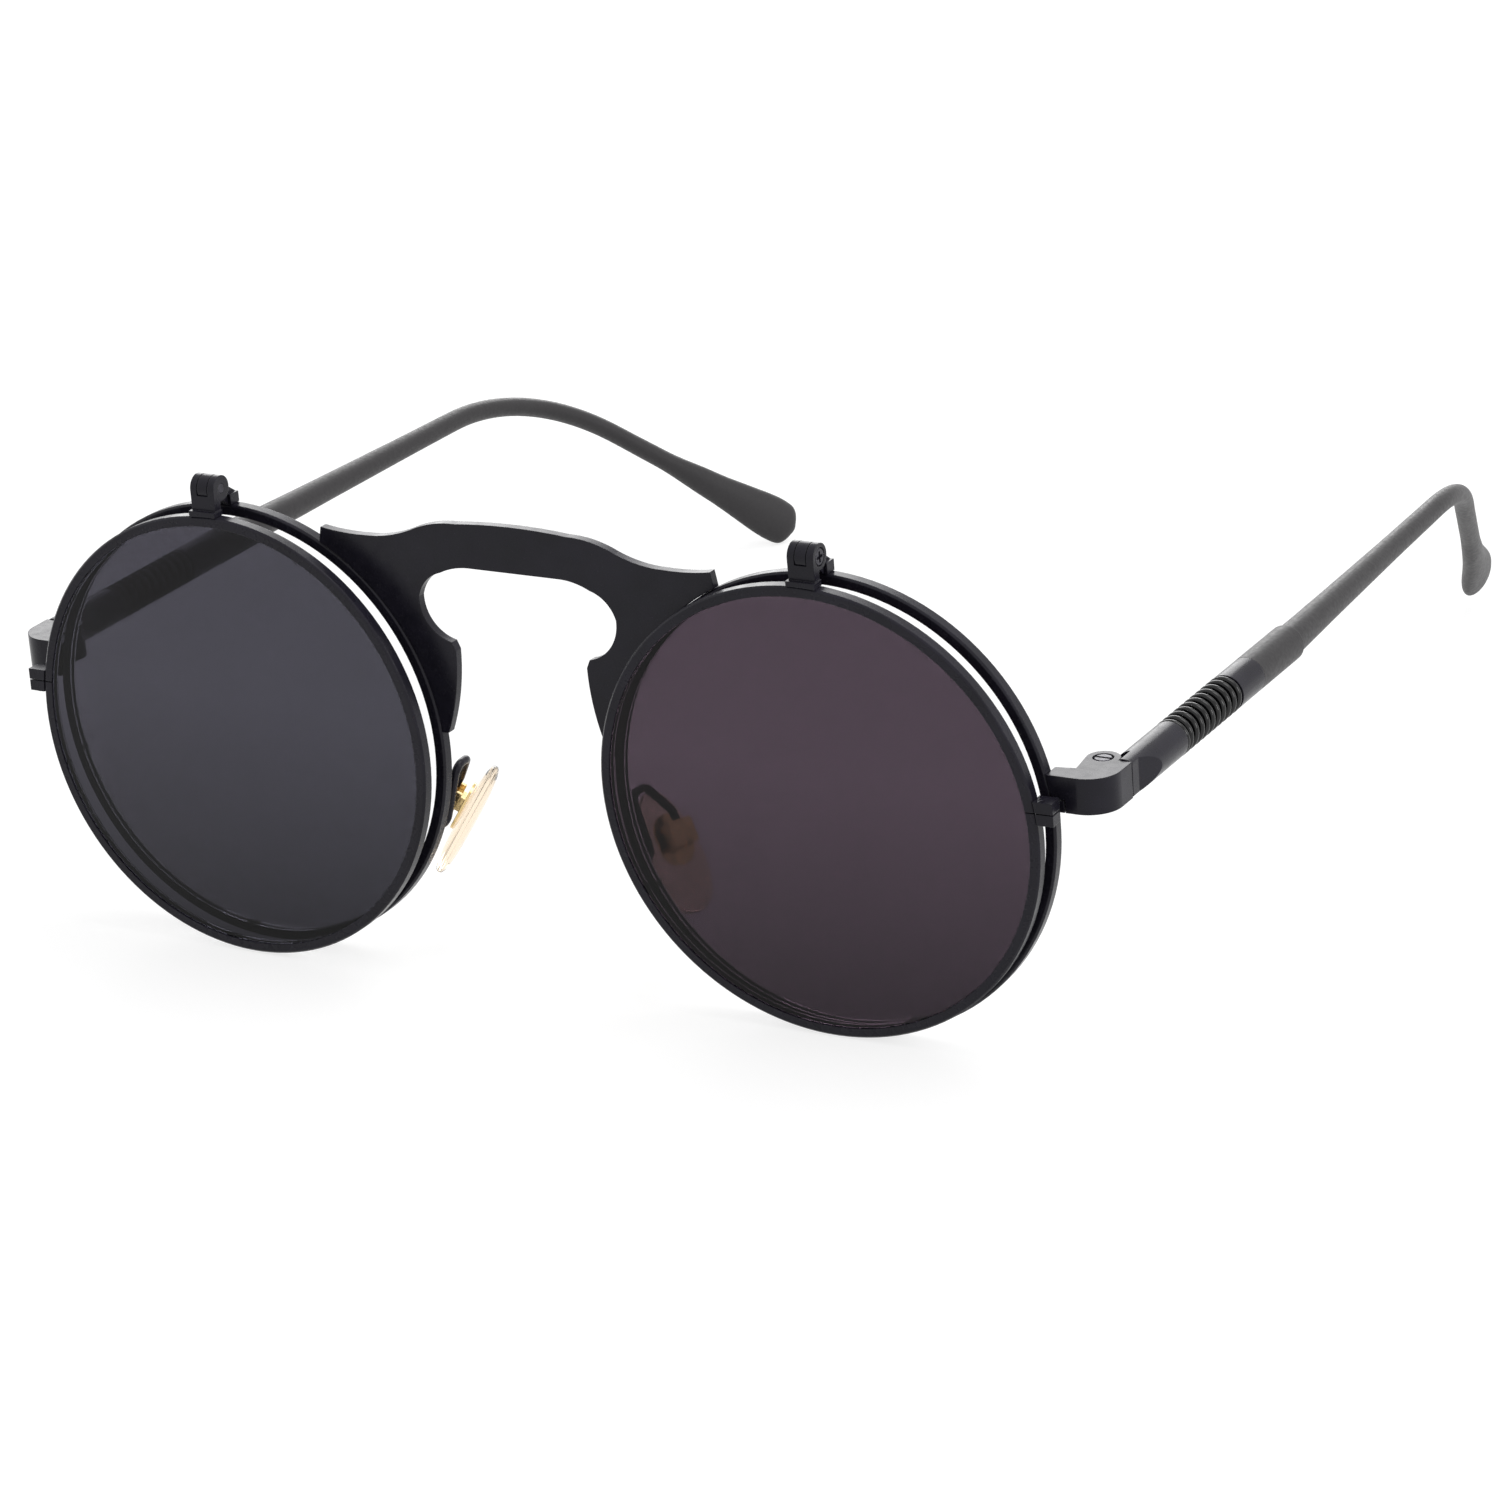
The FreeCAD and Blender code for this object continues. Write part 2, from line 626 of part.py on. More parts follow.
def flip_hinge():
    """The bracket on the flip-up rim, the leaf on the fixed rim and the screw through both."""
    half_width = s.flip_barrel_width / 2
    left = flip_axis_x - half_width
    right = flip_axis_x + half_width
    axis_y = s.flip_axis_depth
    barrel = cylinder(
        "flip_barrel", s.flip_barrel_radius, s.flip_barrel_width, left, axis_y, flip_axis_z, TO_X
    )
    plate = block(
        "flip_plate", (left, right),
        (axis_y - s.flip_barrel_radius, s.flip_depth),
        (flip_radius - s.flip_width, flip_axis_z),
    )
    foot = block(
        "flip_foot", (left - s.flip_width * 0.15, right + s.flip_width * 0.15),
        (ZERO, s.flip_depth),
        (flip_radius - s.flip_width, flip_radius + s.flip_axis_rise * 0.2),
    )
    half_slot = s.flip_leaf_width / 2 + s.side_clearance * 1.5
    slot_radius = s.flip_barrel_radius + s.side_clearance
    slot = cylinder(
        "flip_slot", slot_radius, half_slot * 2, flip_axis_x - half_slot, axis_y, flip_axis_z, TO_X
    )
    front_slot = block(
        "flip_front_slot", (flip_axis_x - half_slot, flip_axis_x + half_slot),
        (-s.cut_overrun, axis_y), (flip_axis_z - slot_radius * 0.4, flip_axis_z),
    )
    bore = cylinder(
        "flip_bore", s.flip_pin_radius + s.solder_gap, s.flip_barrel_width + s.cut_overrun * 2,
        left - s.cut_overrun, axis_y, flip_axis_z, TO_X,
    )
    seat = cylinder(
        "flip_seat", s.flip_head_radius + s.side_clearance, s.flip_head_depth + s.cut_overrun,
        right - s.flip_head_depth, axis_y, flip_axis_z, TO_X,
    )
    rim = cylinder(
        "flip_bracket_rim", flip_radius + s.solder_gap, s.flip_depth + s.cut_overrun * 2,
        flip_x, -s.cut_overrun, ZERO, TO_Y,
    )
    blank = fuse("flip_bracket_blank", barrel, plate, foot)
    bracket = cut("upright_flip_bracket", blank, slot, front_slot, bore, seat, rim)

    leaf_left = flip_axis_x - s.flip_leaf_width / 2
    knuckle = cylinder(
        "leaf_knuckle", s.flip_barrel_radius, s.flip_leaf_width, leaf_left, axis_y, flip_axis_z, TO_X
    )
    base_top = s.rim_radius + s.flip_leaf_base_rise
    arm = pressed("leaf_arm", "YZ_Plane", [
        (axis_y + s.flip_barrel_radius * 0.4, flip_axis_z - s.flip_barrel_radius * 0.8),
        (rim_front, s.rim_radius),
        (rim_back, s.rim_radius),
        (rim_back, base_top),
        (axis_y + s.flip_barrel_radius * 0.95, flip_axis_z + s.flip_barrel_radius * 0.1),
        (axis_y, flip_axis_z),
    ], s.flip_leaf_width)
    put(arm, leaf_left, ZERO, ZERO)
    base = block(
        "leaf_base",
        (flip_axis_x - s.flip_leaf_base_width / 2, flip_axis_x + s.flip_leaf_base_width / 2),
        (rim_front, rim_back),
        (s.rim_radius - s.rim_width, base_top),
    )
    leaf_bore = cylinder(
        "leaf_bore", s.flip_pin_radius + s.running_clearance, s.flip_barrel_width,
        left, axis_y, flip_axis_z, TO_X,
    )
    leaf_rim = cylinder(
        "leaf_rim", s.rim_radius + s.solder_gap, s.rim_depth + s.cut_overrun * 2,
        lens_x, rim_front - s.cut_overrun, ZERO, TO_Y,
    )
    leaf = cut("left_flip_leaf", fuse("flip_leaf_blank", knuckle, arm, base), leaf_bore, leaf_rim)

    pin = screw(
        "flip_screw_blank", s.flip_pin_radius, s.flip_barrel_width,
        s.flip_head_radius, s.flip_head_depth - s.solder_gap,
    )
    inward = FreeCAD.Rotation(FreeCAD.Vector(0, 0, 1), 90)
    put(pin, right, axis_y, flip_axis_z, inward)
    recess_reach = s.flip_head_radius * 0.65
    recess_x = (right - s.recess_depth, right + s.cut_overrun)
    half_recess = s.recess_width / 2
    upright = block(
        "flip_recess_upright", recess_x,
        (axis_y - half_recess, axis_y + half_recess),
        (flip_axis_z - recess_reach, flip_axis_z + recess_reach),
    )
    level = block(
        "flip_recess_level", recess_x,
        (axis_y - recess_reach, axis_y + recess_reach),
        (flip_axis_z - half_recess, flip_axis_z + half_recess),
    )
    return [bracket, leaf, cut("upright_flip_hinge_screw", pin, upright, level)]


def temple_front():
    """The milled rod behind the hinge, with the tongue that turns in the end piece."""
    x = rod_x
    z = s.end_centre_rise
    inner_face = hinge_x + s.knuckle_radius + s.seam_gap
    flat_end = rod_front + s.rod_flat_length
    clear_y = hinge_y + s.knuckle_radius + s.seam_gap * 4
    rod = cylinder("temple_rod", s.rod_radius, s.rod_length, x, rod_front, z, TO_Y)
    milled = block(
        "temple_milled", (x - s.rod_radius * 2, inner_face), (rod_front - s.cut_overrun, clear_y),
        (end_low - s.cut_overrun, end_high + s.cut_overrun),
    )
    facet = pressed("temple_facet", "XY_Plane", [
        (end_outer_x, rod_front - s.cut_overrun),
        (x + s.rod_radius * 2, rod_front - s.cut_overrun),
        (x + s.rod_radius * 2, flat_end + s.rod_facet_length),
        (x + s.rod_radius, flat_end + s.rod_facet_length),
        (end_outer_x, flat_end),
    ], s.end_height * 2)
    put(facet, ZERO, ZERO, z - s.end_height)
    socket = cylinder(
        "temple_socket", s.core_radius + s.solder_gap, s.core_socket + s.cut_overrun,
        x, spring_start - s.core_socket, z, TO_Y,
    )
    notch = cylinder(
        "temple_notch", s.spring_wire / 2 + s.spring_notch_clearance, s.spring_wire * 2,
        x, spring_start - s.spring_wire - s.spring_notch_clearance,
        z - s.spring_outer_radius + s.spring_wire / 2, TO_Y,
    )
    rod_part = cut("temple_rod_milled", rod, milled, facet, socket, notch)
    tongue_low = z - s.tongue_thickness / 2
    disc = cylinder(
        "temple_disc", s.knuckle_radius, s.tongue_thickness, hinge_x, hinge_y, tongue_low, TO_Z
    )
    web = block(
        "temple_web", (hinge_x, inner_face + s.rod_radius * 0.3),
        (hinge_y, hinge_y + s.knuckle_radius), (tongue_low, tongue_low + s.tongue_thickness),
    )
    bore = cylinder(
        "temple_bore", s.temple_screw_radius + s.running_clearance, s.end_height,
        hinge_x, hinge_y, end_low, TO_Z,
    )
    return cut("left_temple_front", fuse("temple_front_blank", rod_part, disc, web), bore)


def temple_rods():
    x = rod_x
    z = s.end_centre_rise
    core_start = spring_start - s.core_socket + s.solder_gap
    core = cylinder(
        "left_temple_core", s.core_radius,
        s.core_socket + s.spring_length + s.sleeve_length + s.core_tail - s.solder_gap * 2,
        x, core_start, z, TO_Y,
    )
    tube = cylinder("sleeve_tube", s.rod_radius, s.sleeve_length - s.solder_gap, x, spring_end, z, TO_Y)
    bore = cylinder(
        "sleeve_bore", s.core_radius + s.solder_gap, s.sleeve_length + s.cut_overrun * 2,
        x, spring_end - s.cut_overrun, z, TO_Y,
    )
    notch = cylinder(
        "sleeve_notch", s.spring_wire / 2 + s.spring_notch_clearance, s.spring_wire * 2,
        x, spring_end - s.spring_wire + s.spring_notch_clearance,
        z - s.spring_outer_radius + s.spring_wire / 2, TO_Y,
    )
    return [core, cut("left_temple_sleeve", tube, bore, notch)]


def formed(name, shape):
    """A piece whose shape is worked out here, in the frame of the finished glasses."""
    piece = doc.addObject("Part::Feature", name)
    piece.Shape = shape
    piece.Placement = FreeCAD.Placement()
    return piece


def arc_between(start, heading, finish):
    """The arc from a start point along a heading to a finish point."""
    chord = finish - start
    bend = heading.getAngle(chord)
    side = heading - chord * (heading.dot(chord) / chord.dot(chord))
    middle = start + chord / 2 + side.normalize() * (chord.Length / 2 * math.tan(bend / 2))
    return Part.Arc(start, middle, finish).toShape()


def biarc(start, heading, finish, final_heading):
    """Two arcs that join two points smoothly."""
    span = finish - start
    lean = span.dot(heading + final_heading)
    spread = 2 * (1 - heading.dot(final_heading))
    reach = (-lean + math.sqrt(lean * lean + spread * span.dot(span))) / spread
    meeting = (start + heading * reach + finish - final_heading * reach) / 2
    first = arc_between(start, heading, meeting)
    second = arc_between(finish, -final_heading, meeting)
    return [first, second]


SPRING_TURNS = 10


def temple_spring():
    """A coil round the core, with an upright tail at each end in a notch of the shoulder."""
    wire = s.spring_wire.value
    coil = s.spring_outer_radius.value - wire / 2
    bend = s.spring_end_bend.value
    length = s.spring_length.value
    centre = spot(rod_x, spring_start, s.end_centre_rise)
    slope = length / (2 * math.pi * coil * SPRING_TURNS)
    for trial in range(6):
        tilt = math.pi / 2 - math.atan(slope)
        lead_around = bend * (1 - math.cos(tilt))
        lead_along = bend * math.sin(tilt)
        run = 2 * math.pi * coil * SPRING_TURNS - lead_around * 2
        slope = (length - lead_along * 2) / run

    def place(around, along):
        """A point of the coil and its directions round and along the rod."""
        turn = around / coil
        out = FreeCAD.Vector(math.sin(turn), 0, -math.cos(turn))
        round_way = FreeCAD.Vector(math.cos(turn), 0, math.sin(turn))
        return centre + out * coil + FreeCAD.Vector(0, along, 0), round_way

    def state(around, along, angle):
        point, round_way = place(around, along)
        return point, round_way * math.sin(angle) + FreeCAD.Vector(0, math.cos(angle), 0)

    bend_steps = 2
    states = []
    for step in range(bend_steps + 1):
        angle = tilt * step / bend_steps
        states.append(state(bend * (1 - math.cos(angle)), bend * math.sin(angle), angle))
    quarters = SPRING_TURNS * 4
    for step in range(1, quarters + 1):
        share = step / quarters
        states.append(state(lead_around + run * share, lead_along + run * share * slope, tilt))
    for step in range(bend_steps - 1, -1, -1):
        angle = tilt * step / bend_steps
        around = lead_around * 2 + run - bend * (1 - math.cos(angle))
        states.append(state(around, length - bend * math.sin(angle), angle))
    tail = FreeCAD.Vector(0, wire, 0)
    edges = [Part.LineSegment(states[0][0] - tail, states[0][0]).toShape()]
    for (start, heading), (finish, final_heading) in zip(states, states[1:]):
        edges.extend(biarc(start, heading, finish, final_heading))
    edges.append(Part.LineSegment(states[-1][0], states[-1][0] + tail).toShape())
    path = Part.Wire(Part.__sortEdges__(edges))
    start = states[0][0] - tail
    section = Part.Wire(Part.Circle(start, FreeCAD.Vector(0, 1, 0), wire / 2).toShape())
    sweep = Part.BRepOffsetAPI.MakePipeShell(path)
    sweep.add(section)
    sweep.build()
    sweep.makeSolid()
    spring = sweep.shape()

    points_per_turn = 48
    points = path.discretize(Number=int(points_per_turn * run / (2 * math.pi * coil)))
    step_length = path.Length / len(points)
    apart = int(wire * 3 / step_length)
    nearest = min(
        (points[first] - points[second]).Length
        for first in range(len(points))
        for second in range(first + apart, min(first + points_per_turn * 2, len(points)))
    )
    print(f"spring: least gap to itself {nearest - wire:.2f} mm")
    swept = math.pi * wire ** 2 / 4 * path.Length
    print(f"spring: volume {spring.Volume:.2f}, section times length {swept:.2f}")
    return formed("left_temple_spring", spring)


def ellipse(centre, up, aside, half_height, half_width):
    """A closed oval edge whose seam is always at its top."""
    tall = max(half_height, half_width * 1.001)
    oval = Part.Ellipse(centre + up * tall, centre + aside * half_width, centre)
    return Part.Wire(oval.toShape())


# Stations of the temple's blade: share of the way to the end of its centre line, then the width from
# that of the rod (0) to the thin blade (1), and the height and thickness from the blade (0) to the tip (1)
BLADE_SHARES = (
    (0.0, 0.0, 0.0),
    (0.12, 0.35, 0.0),
    (0.3, 0.74, 0.0),
    (0.5, 0.96, 0.0),
    (0.7, 1.0, 0.0),
    (0.776, 1.0, 0.04),
    (0.815, 1.0, 0.2),
    (0.854, 1.0, 0.4),
    (0.893, 1.0, 0.58),
    (0.932, 1.0, 0.88),
    (0.955, 1.0, 1.0),
)
BLADE_STATIONS = 28
# The rounded end: what is left of the way, as a share of the tip's height, and the share of its height kept
TIP_END_SHARES = ((0.42, 1.0), (0.22, 0.93), (0.08, 0.68), (0.0, 0.32))


def blade_shares(progress):
    """The blade's shares at a point between the first and the last station."""
    way = BLADE_SHARES[-1][0] * progress
    for before, after in zip(BLADE_SHARES, BLADE_SHARES[1:]):
        if way <= after[0]:
            part = (way - before[0]) / (after[0] - before[0])
            return tuple(low + (high - low) * part for low, high in zip(before, after))
    return BLADE_SHARES[-1]


def temple_tip(name, side):
    """The soft end of a temple: a collar, then a thin blade that bends down to a flat tip."""
    start = spot(rod_x, tip_step_y, s.end_centre_rise)
    bend_y = tip_step_y + getattr(s, f"{side}_blade_length")
    finish_x = bend_x - getattr(s, f"{side}_tip_inset")
    finish_y = bend_y + getattr(s, f"{side}_tip_length")
    lift = s.left_tip_lift if side == "left" else ZERO
    corner = spot(bend_x, bend_y, s.end_centre_rise)
    finish = spot(finish_x, finish_y, s.tip_height * TIP_DROP_SHARE + lift - s.rim_radius)
    ahead = (corner - start).normalize()
    down = (finish - corner).normalize()
    bend = ahead.getAngle(down)
    radius = getattr(s, f"{side}_bend_radius").value
    tangent = radius * math.tan(bend / 2)
    first_run = (corner - start).Length - tangent
    arc_run = radius * bend
    last_run = (finish - corner).Length - tangent
    total = first_run + arc_run + last_run
    inward = (down - ahead * ahead.dot(down)).normalize()

    def station(distance):
        if distance <= first_run:
            return start + ahead * distance, ahead
        if distance < first_run + arc_run:
            turn = (distance - first_run) / radius
            from_bend = ahead * math.sin(turn) + inward * (1 - math.cos(turn))
            heading = ahead * math.cos(turn) + inward * math.sin(turn)
            return start + ahead * first_run + from_bend * radius, heading
        return finish - down * (total - distance), down

    rod = (s.rod_radius - s.tip_step).value
    blade = s.blade_radius.value
    tip_height = s.tip_height.value
    full_twist = TIP_TWISTS[side]
    rows = [(-s.tip_collar_length.value * 0.1, rod, rod, 0)]
    for index in range(BLADE_STATIONS):
        way, thinned, spread = blade_shares(index / (BLADE_STATIONS - 1))
        width = rod + (blade - rod) * thinned
        half_height = width + (tip_height / 2 - width) * spread
        half_width = width + (s.tip_thickness.value / 2 - width) * spread
        rows.append((total * way, half_height, half_width, full_twist * spread))
    for left_share, kept in TIP_END_SHARES:
        half_width = s.tip_thickness.value / 2 * (0.35 + 0.65 * kept)
        rows.append((total - tip_height * left_share, tip_height / 2 * kept, half_width, full_twist))
    sections = []
    upright = FreeCAD.Vector(0, 0, 1)
    for distance, half_height, half_width, twist in rows:
        centre, heading = station(distance)
        up = (upright - heading * heading.dot(upright)).normalize()
        up = FreeCAD.Rotation(heading, twist).multVec(up)
        sections.append(ellipse(centre, up, heading.cross(up), half_height, half_width))
    blade_solid = Part.makeLoft(sections, True, False)
    axis = FreeCAD.Vector(0, 1, 0)
    collar_start = spot(rod_x, tip_start, s.end_centre_rise)
    full = s.rod_radius.value
    hidden = rod * 0.85
    collar_length = s.tip_collar_length.value - (full - hidden)
    collar = Part.makeCylinder(full, collar_length, collar_start, axis)
    shoulder = Part.makeCone(full, hidden, full - hidden, collar_start + axis * collar_length, axis)
    bore_length = s.core_tail.value
    bore = Part.makeCylinder((s.core_radius + s.solder_gap).value, bore_length, collar_start, axis)
    return formed(name, collar.fuse([shoulder, blade_solid]).cut(bore).removeSplitter())


PAD_FACING = FreeCAD.Vector(-0.8, 0.29, -0.523).normalize()
PAD_LEAN = FreeCAD.Vector(-0.471, 0.196, 0.86)
PAD_DROP_SHARE = 0.417


def pad_frame():
    """The left pad's place and its directions: up along it, across it and out of its face."""
    facing = PAD_FACING
    up = (PAD_LEAN - facing * facing.dot(PAD_LEAN)).normalize()
    centre = spot(
        gap_half + s.pad_offset, rim_front + s.pad_setback, -s.rim_radius * PAD_DROP_SHARE
    )
    return FreeCAD.Placement(centre, FreeCAD.Rotation(up, facing.cross(up), facing, "XYZ"))


pad_back = -s.pad_thickness / 2
pad_plate_back = pad_back - s.pad_plate_thickness
pad_pivot = pad_plate_back - s.pad_box_gap - s.pad_screw_radius * 1.2
pad_box_floor = pad_plate_back - s.pad_box_gap - s.pad_box_depth


def local_box(along, across, out):
    """A box in the pad's own directions, between two places along each."""
    sizes = [(high - low).value for low, high in (along, across, out)]
    return Part.makeBox(*sizes, vector(along[0], across[0], out[0]))


# Sections through the pad from its back to its face: share of the thickness, and share of the full oval
PAD_SECTION_SHARES = ((-0.5, 0.8), (-0.3, 0.95), (0.0, 1.0), (0.3, 0.95), (0.5, 0.8))


def nose_pad():
    """The soft pad, its metal plate and stem, the box on the arm, and the screw that it rocks on."""
    frame = pad_frame()
    length_way = FreeCAD.Vector(1, 0, 0)
    width_way = FreeCAD.Vector(0, 1, 0)
    sections = [
        ellipse(
            FreeCAD.Vector(0, 0, s.pad_thickness.value * out_share), length_way, width_way,
            s.pad_length.value / 2 * oval_share, s.pad_width.value / 2 * oval_share,
        )
        for out_share, oval_share in PAD_SECTION_SHARES
    ]
    pad = Part.makeLoft(sections, True, False)
    rise = s.pad_box_rise
    plate_rise = rise * 0.8
    half_plate = s.pad_plate_length / 2 - s.pad_plate_width / 2
    half_width = s.pad_plate_width / 2
    plate_base = vector(ZERO, ZERO, pad_plate_back)
    plate = Part.makeCylinder(half_width.value, s.pad_plate_thickness.value, plate_base)
    plate_ends = (plate_rise - half_plate, plate_rise + half_plate)
    ends = [plate.translated(vector(place, ZERO)) for place in plate_ends]
    bar = local_box(plate_ends, (-half_width, half_width), (pad_plate_back, pad_back))
    half_stem = s.pad_stem_length / 2
    half_stem_width = s.pad_stem_width / 2
    stem = local_box(
        (rise - half_stem, rise + half_stem), (-half_stem_width, half_stem_width),
        (pad_plate_back - s.pad_stem_reach, pad_plate_back),
    )
    box_half = s.pad_box_length / 2
    box_inner = half_stem_width + s.side_clearance
    box_outer = box_inner + s.pad_box_wall
    box_top = pad_plate_back - s.pad_box_gap
    box = local_box(
        (rise - box_half, rise + box_half), (-box_outer, box_outer),
        (pad_box_floor - s.pad_box_wall, box_top),
    )
    hollow = local_box(
        (rise - box_half * 2, rise + box_half * 2), (-box_inner, box_inner),
        (pad_box_floor, box_top + s.cut_overrun),
    )
    screw_start = vector(rise, -box_outer, pad_pivot)
    screw_length = (box_outer * 2).value

    def across(radius):
        return Part.makeCylinder(radius.value, screw_length, screw_start, width_way)

    screw_bore = across(s.pad_screw_radius + s.running_clearance)
    box_bore = across(s.pad_screw_radius + s.solder_gap)
    pin = across(s.pad_screw_radius)
    shapes = {
        "left_nose_pad": pad,
        "left_pad_plate": bar.fuse(ends + [stem]).cut(screw_bore).removeSplitter(),
        "left_pad_box": box.cut(hollow).cut(box_bore),
        "left_pad_screw": pin,
    }
    pieces = []
    for name, shape in shapes.items():
        piece = doc.addObject("Part::Feature", name)
        piece.Shape = shape
        piece.Placement = frame
        pieces.append(piece)
    return pieces


def rounded_path(points, radii):
    """Straight runs through points, with every corner rounded."""
    edges = []
    start = points[0]
    for before, corner, after, radius in zip(points, points[1:], points[2:], radii):
        back = (before - corner).normalize()
        ahead = (after - corner).normalize()
        turn = math.pi - back.getAngle(ahead)
        tangent = radius * math.tan(turn / 2)
        middle = (back + ahead).normalize() * (radius / math.cos(turn / 2) - radius)
        arc_start = corner + back * tangent
        arc_end = corner + ahead * tangent
        edges.append(Part.LineSegment(start, arc_start).toShape())
        edges.append(Part.Arc(arc_start, corner + middle, arc_end).toShape())
        start = arc_end
    edges.append(Part.LineSegment(start, points[-1]).toShape())
    return Part.Wire(edges)


def pad_arm():
    """The wire from the back of the rim, up and over in a narrow loop, down to the pad's box."""
    frame = pad_frame()
    foot_radius = s.rim_radius - s.rim_width / 2
    foot_x, foot_z = from_lens(foot_radius, PAD_ARM_FOOT_ANGLE)
    foot_z = -foot_z
    box_top = s.pad_box_rise + s.pad_box_length / 2
    box_back = pad_box_floor - s.pad_box_wall
    box_end = frame.multVec(vector(box_top + s.solder_gap * 2, ZERO, box_back + s.pad_arm_radius))
    out_of_box = frame.multVec(vector(box_top + s.pad_arm_bend * 1.6, ZERO, box_back + s.pad_arm_radius))
    top_z = foot_z + s.pad_arm_rise
    front_y = rim_back + s.pad_arm_setback
    front_x = foot_x - s.pad_arm_inset
    foot_y = rim_back - (lens_x - foot_x) * math.tan(math.radians(LENS_WRAP)) + s.solder_gap
    points = [
        spot(foot_x, foot_y, foot_z),
        spot(foot_x, front_y, foot_z),
        spot(front_x, front_y, top_z),
        spot(front_x + s.pad_arm_loop * 0.09, front_y + s.pad_arm_loop, top_z),
        out_of_box,
        box_end,
    ]
    bend = s.pad_arm_bend.value
    loop = s.pad_arm_loop.value * 0.42
    path = rounded_path(points, (bend, loop, loop, bend))
    section = Part.Wire(Part.Circle(points[0], FreeCAD.Vector(0, 1, 0), s.pad_arm_radius.value).toShape())
    sweep = Part.BRepOffsetAPI.MakePipeShell(path)
    sweep.add(section)
    sweep.build()
    sweep.makeSolid()
    return formed("left_pad_arm", sweep.shape())


def turned_to(name, piece, axis, angle, middle):
    """A piece turned about an axis through a place."""
    turn = doc.addObject("Part::Compound", name)
    turn.Links = [piece]
    turn.Placement = FreeCAD.Placement(FreeCAD.Vector(), FreeCAD.Rotation(axis, angle), middle)
    return turn


def mirrored(name, piece):
    twin = doc.addObject("Part::Mirroring", name)
    twin.Source = piece
    twin.Normal = FreeCAD.Vector(1, 0, 0)
    return twin


def flip_pieces(blanks):
    """Every piece of the two flip-up lenses, wrapped round the face and leaned to where it rests."""
    upright = []
    for piece in blanks:
        stage, _, name = piece.Name.partition("_")
        if stage == "flat":
            middle = spot(flip_x, ZERO, ZERO)
            piece = turned_to(f"upright_{name}", piece, FreeCAD.Vector(0, 0, 1), LENS_WRAP, middle)
        upright.append((name, piece))
    axis_spot = spot(flip_axis_x, s.flip_axis_depth, flip_axis_z)
    across = FreeCAD.Vector(1, 0, 0)
    leaned = []
    for name, piece in upright:
        twin = mirrored(f"twin_{name}", piece)
        for side, blank in (("left", piece), ("right", twin)):
            leaned.append(turned_to(f"{side}_{name}", blank, across, FLIP_LEANS[side], axis_spot))
    return leaned


def make_pieces():
    """Every piece of the glasses. The right side is the left one mirrored."""
    left = [end_piece(), temple_screw(), temple_front(), temple_spring(), pad_arm()]
    left.extend(rim_lock() + temple_rods() + nose_pad())
    flip = []
    middle = spot(lens_x, rim_front, ZERO)
    for piece in rims_and_lenses() + flip_lock() + flip_hinge():
        stage, _, name = piece.Name.partition("_")
        if stage == "left":
            left.append(piece)
        elif stage == "wrapped":
            left.append(turned_to(f"left_{name}", piece, FreeCAD.Vector(0, 0, 1), LENS_WRAP, middle))
        else:
            flip.append(piece)
    pieces = [bridge()] + flip_pieces(flip)
    for piece in left:
        pieces.extend([piece, mirrored(piece.Name.replace("left", "right", 1), piece)])
    pieces.append(temple_tip("left_temple_tip", "left"))
    pieces.append(mirrored("right_temple_tip", temple_tip("twin_temple_tip", "right")))
    for piece in pieces:
        piece.Label = piece.Name
    return pieces


pieces = make_pieces()
doc.recompute()
for thing in doc.Objects:
    if "Invalid" in thing.State or "Error" in thing.State:
        raise RuntimeError(f"{thing.Name} failed: {thing.State}")
for piece in pieces:
    if piece.Shape.isNull() or not piece.Shape.isValid():
        raise RuntimeError(f"{piece.Label} has no valid shape")

frame = pad_frame()
pivot = frame.multVec(vector(s.pad_box_rise, ZERO, pad_pivot))
pivot_axis = frame.Rotation.multVec(FreeCAD.Vector(0, 1, 0))
print("flip axis", spot(flip_axis_x, s.flip_axis_depth, flip_axis_z))
print("temple hinge", spot(hinge_x, hinge_y, s.end_centre_rise))
print("pad pivot", pivot, "along", pivot_axis)

os.makedirs("parts", exist_ok=True)
for piece in pieces:
    piece.Shape.exportStep(f"parts/{piece.Label}.step")
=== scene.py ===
import math
from typing import NamedTuple

import bpy
from bpy.props import FloatProperty, FloatVectorProperty, IntProperty, PointerProperty
from mathutils import Matrix, Vector


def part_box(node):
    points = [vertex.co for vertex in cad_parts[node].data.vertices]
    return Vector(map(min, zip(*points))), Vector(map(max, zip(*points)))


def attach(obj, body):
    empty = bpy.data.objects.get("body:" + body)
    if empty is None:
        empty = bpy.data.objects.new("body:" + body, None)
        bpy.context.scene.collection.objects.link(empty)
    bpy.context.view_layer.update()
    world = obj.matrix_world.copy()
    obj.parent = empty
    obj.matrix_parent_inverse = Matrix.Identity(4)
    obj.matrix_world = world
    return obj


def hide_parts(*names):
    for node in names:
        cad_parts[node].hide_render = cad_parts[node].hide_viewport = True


bl_info = {
    "name": "Flip-up Sunglasses",
    "version": (1, 0, 0),
    "blender": (4, 5, 0),
    "location": "3D View > Sidebar > Sunglasses",
    "description": "Dresses round flip-up sunglasses with coatings, lenses, coils and pads",
    "category": "Object",
}

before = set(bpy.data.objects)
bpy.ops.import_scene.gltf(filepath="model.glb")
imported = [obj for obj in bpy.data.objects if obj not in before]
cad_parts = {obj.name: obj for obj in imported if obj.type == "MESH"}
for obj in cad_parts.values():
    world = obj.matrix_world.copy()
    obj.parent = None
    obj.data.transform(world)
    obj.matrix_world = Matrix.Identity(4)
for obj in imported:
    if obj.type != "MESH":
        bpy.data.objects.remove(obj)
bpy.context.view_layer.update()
SIDES = ("left", "right")
MM = 0.001
WHITE = (1.0, 1.0, 1.0, 1.0)


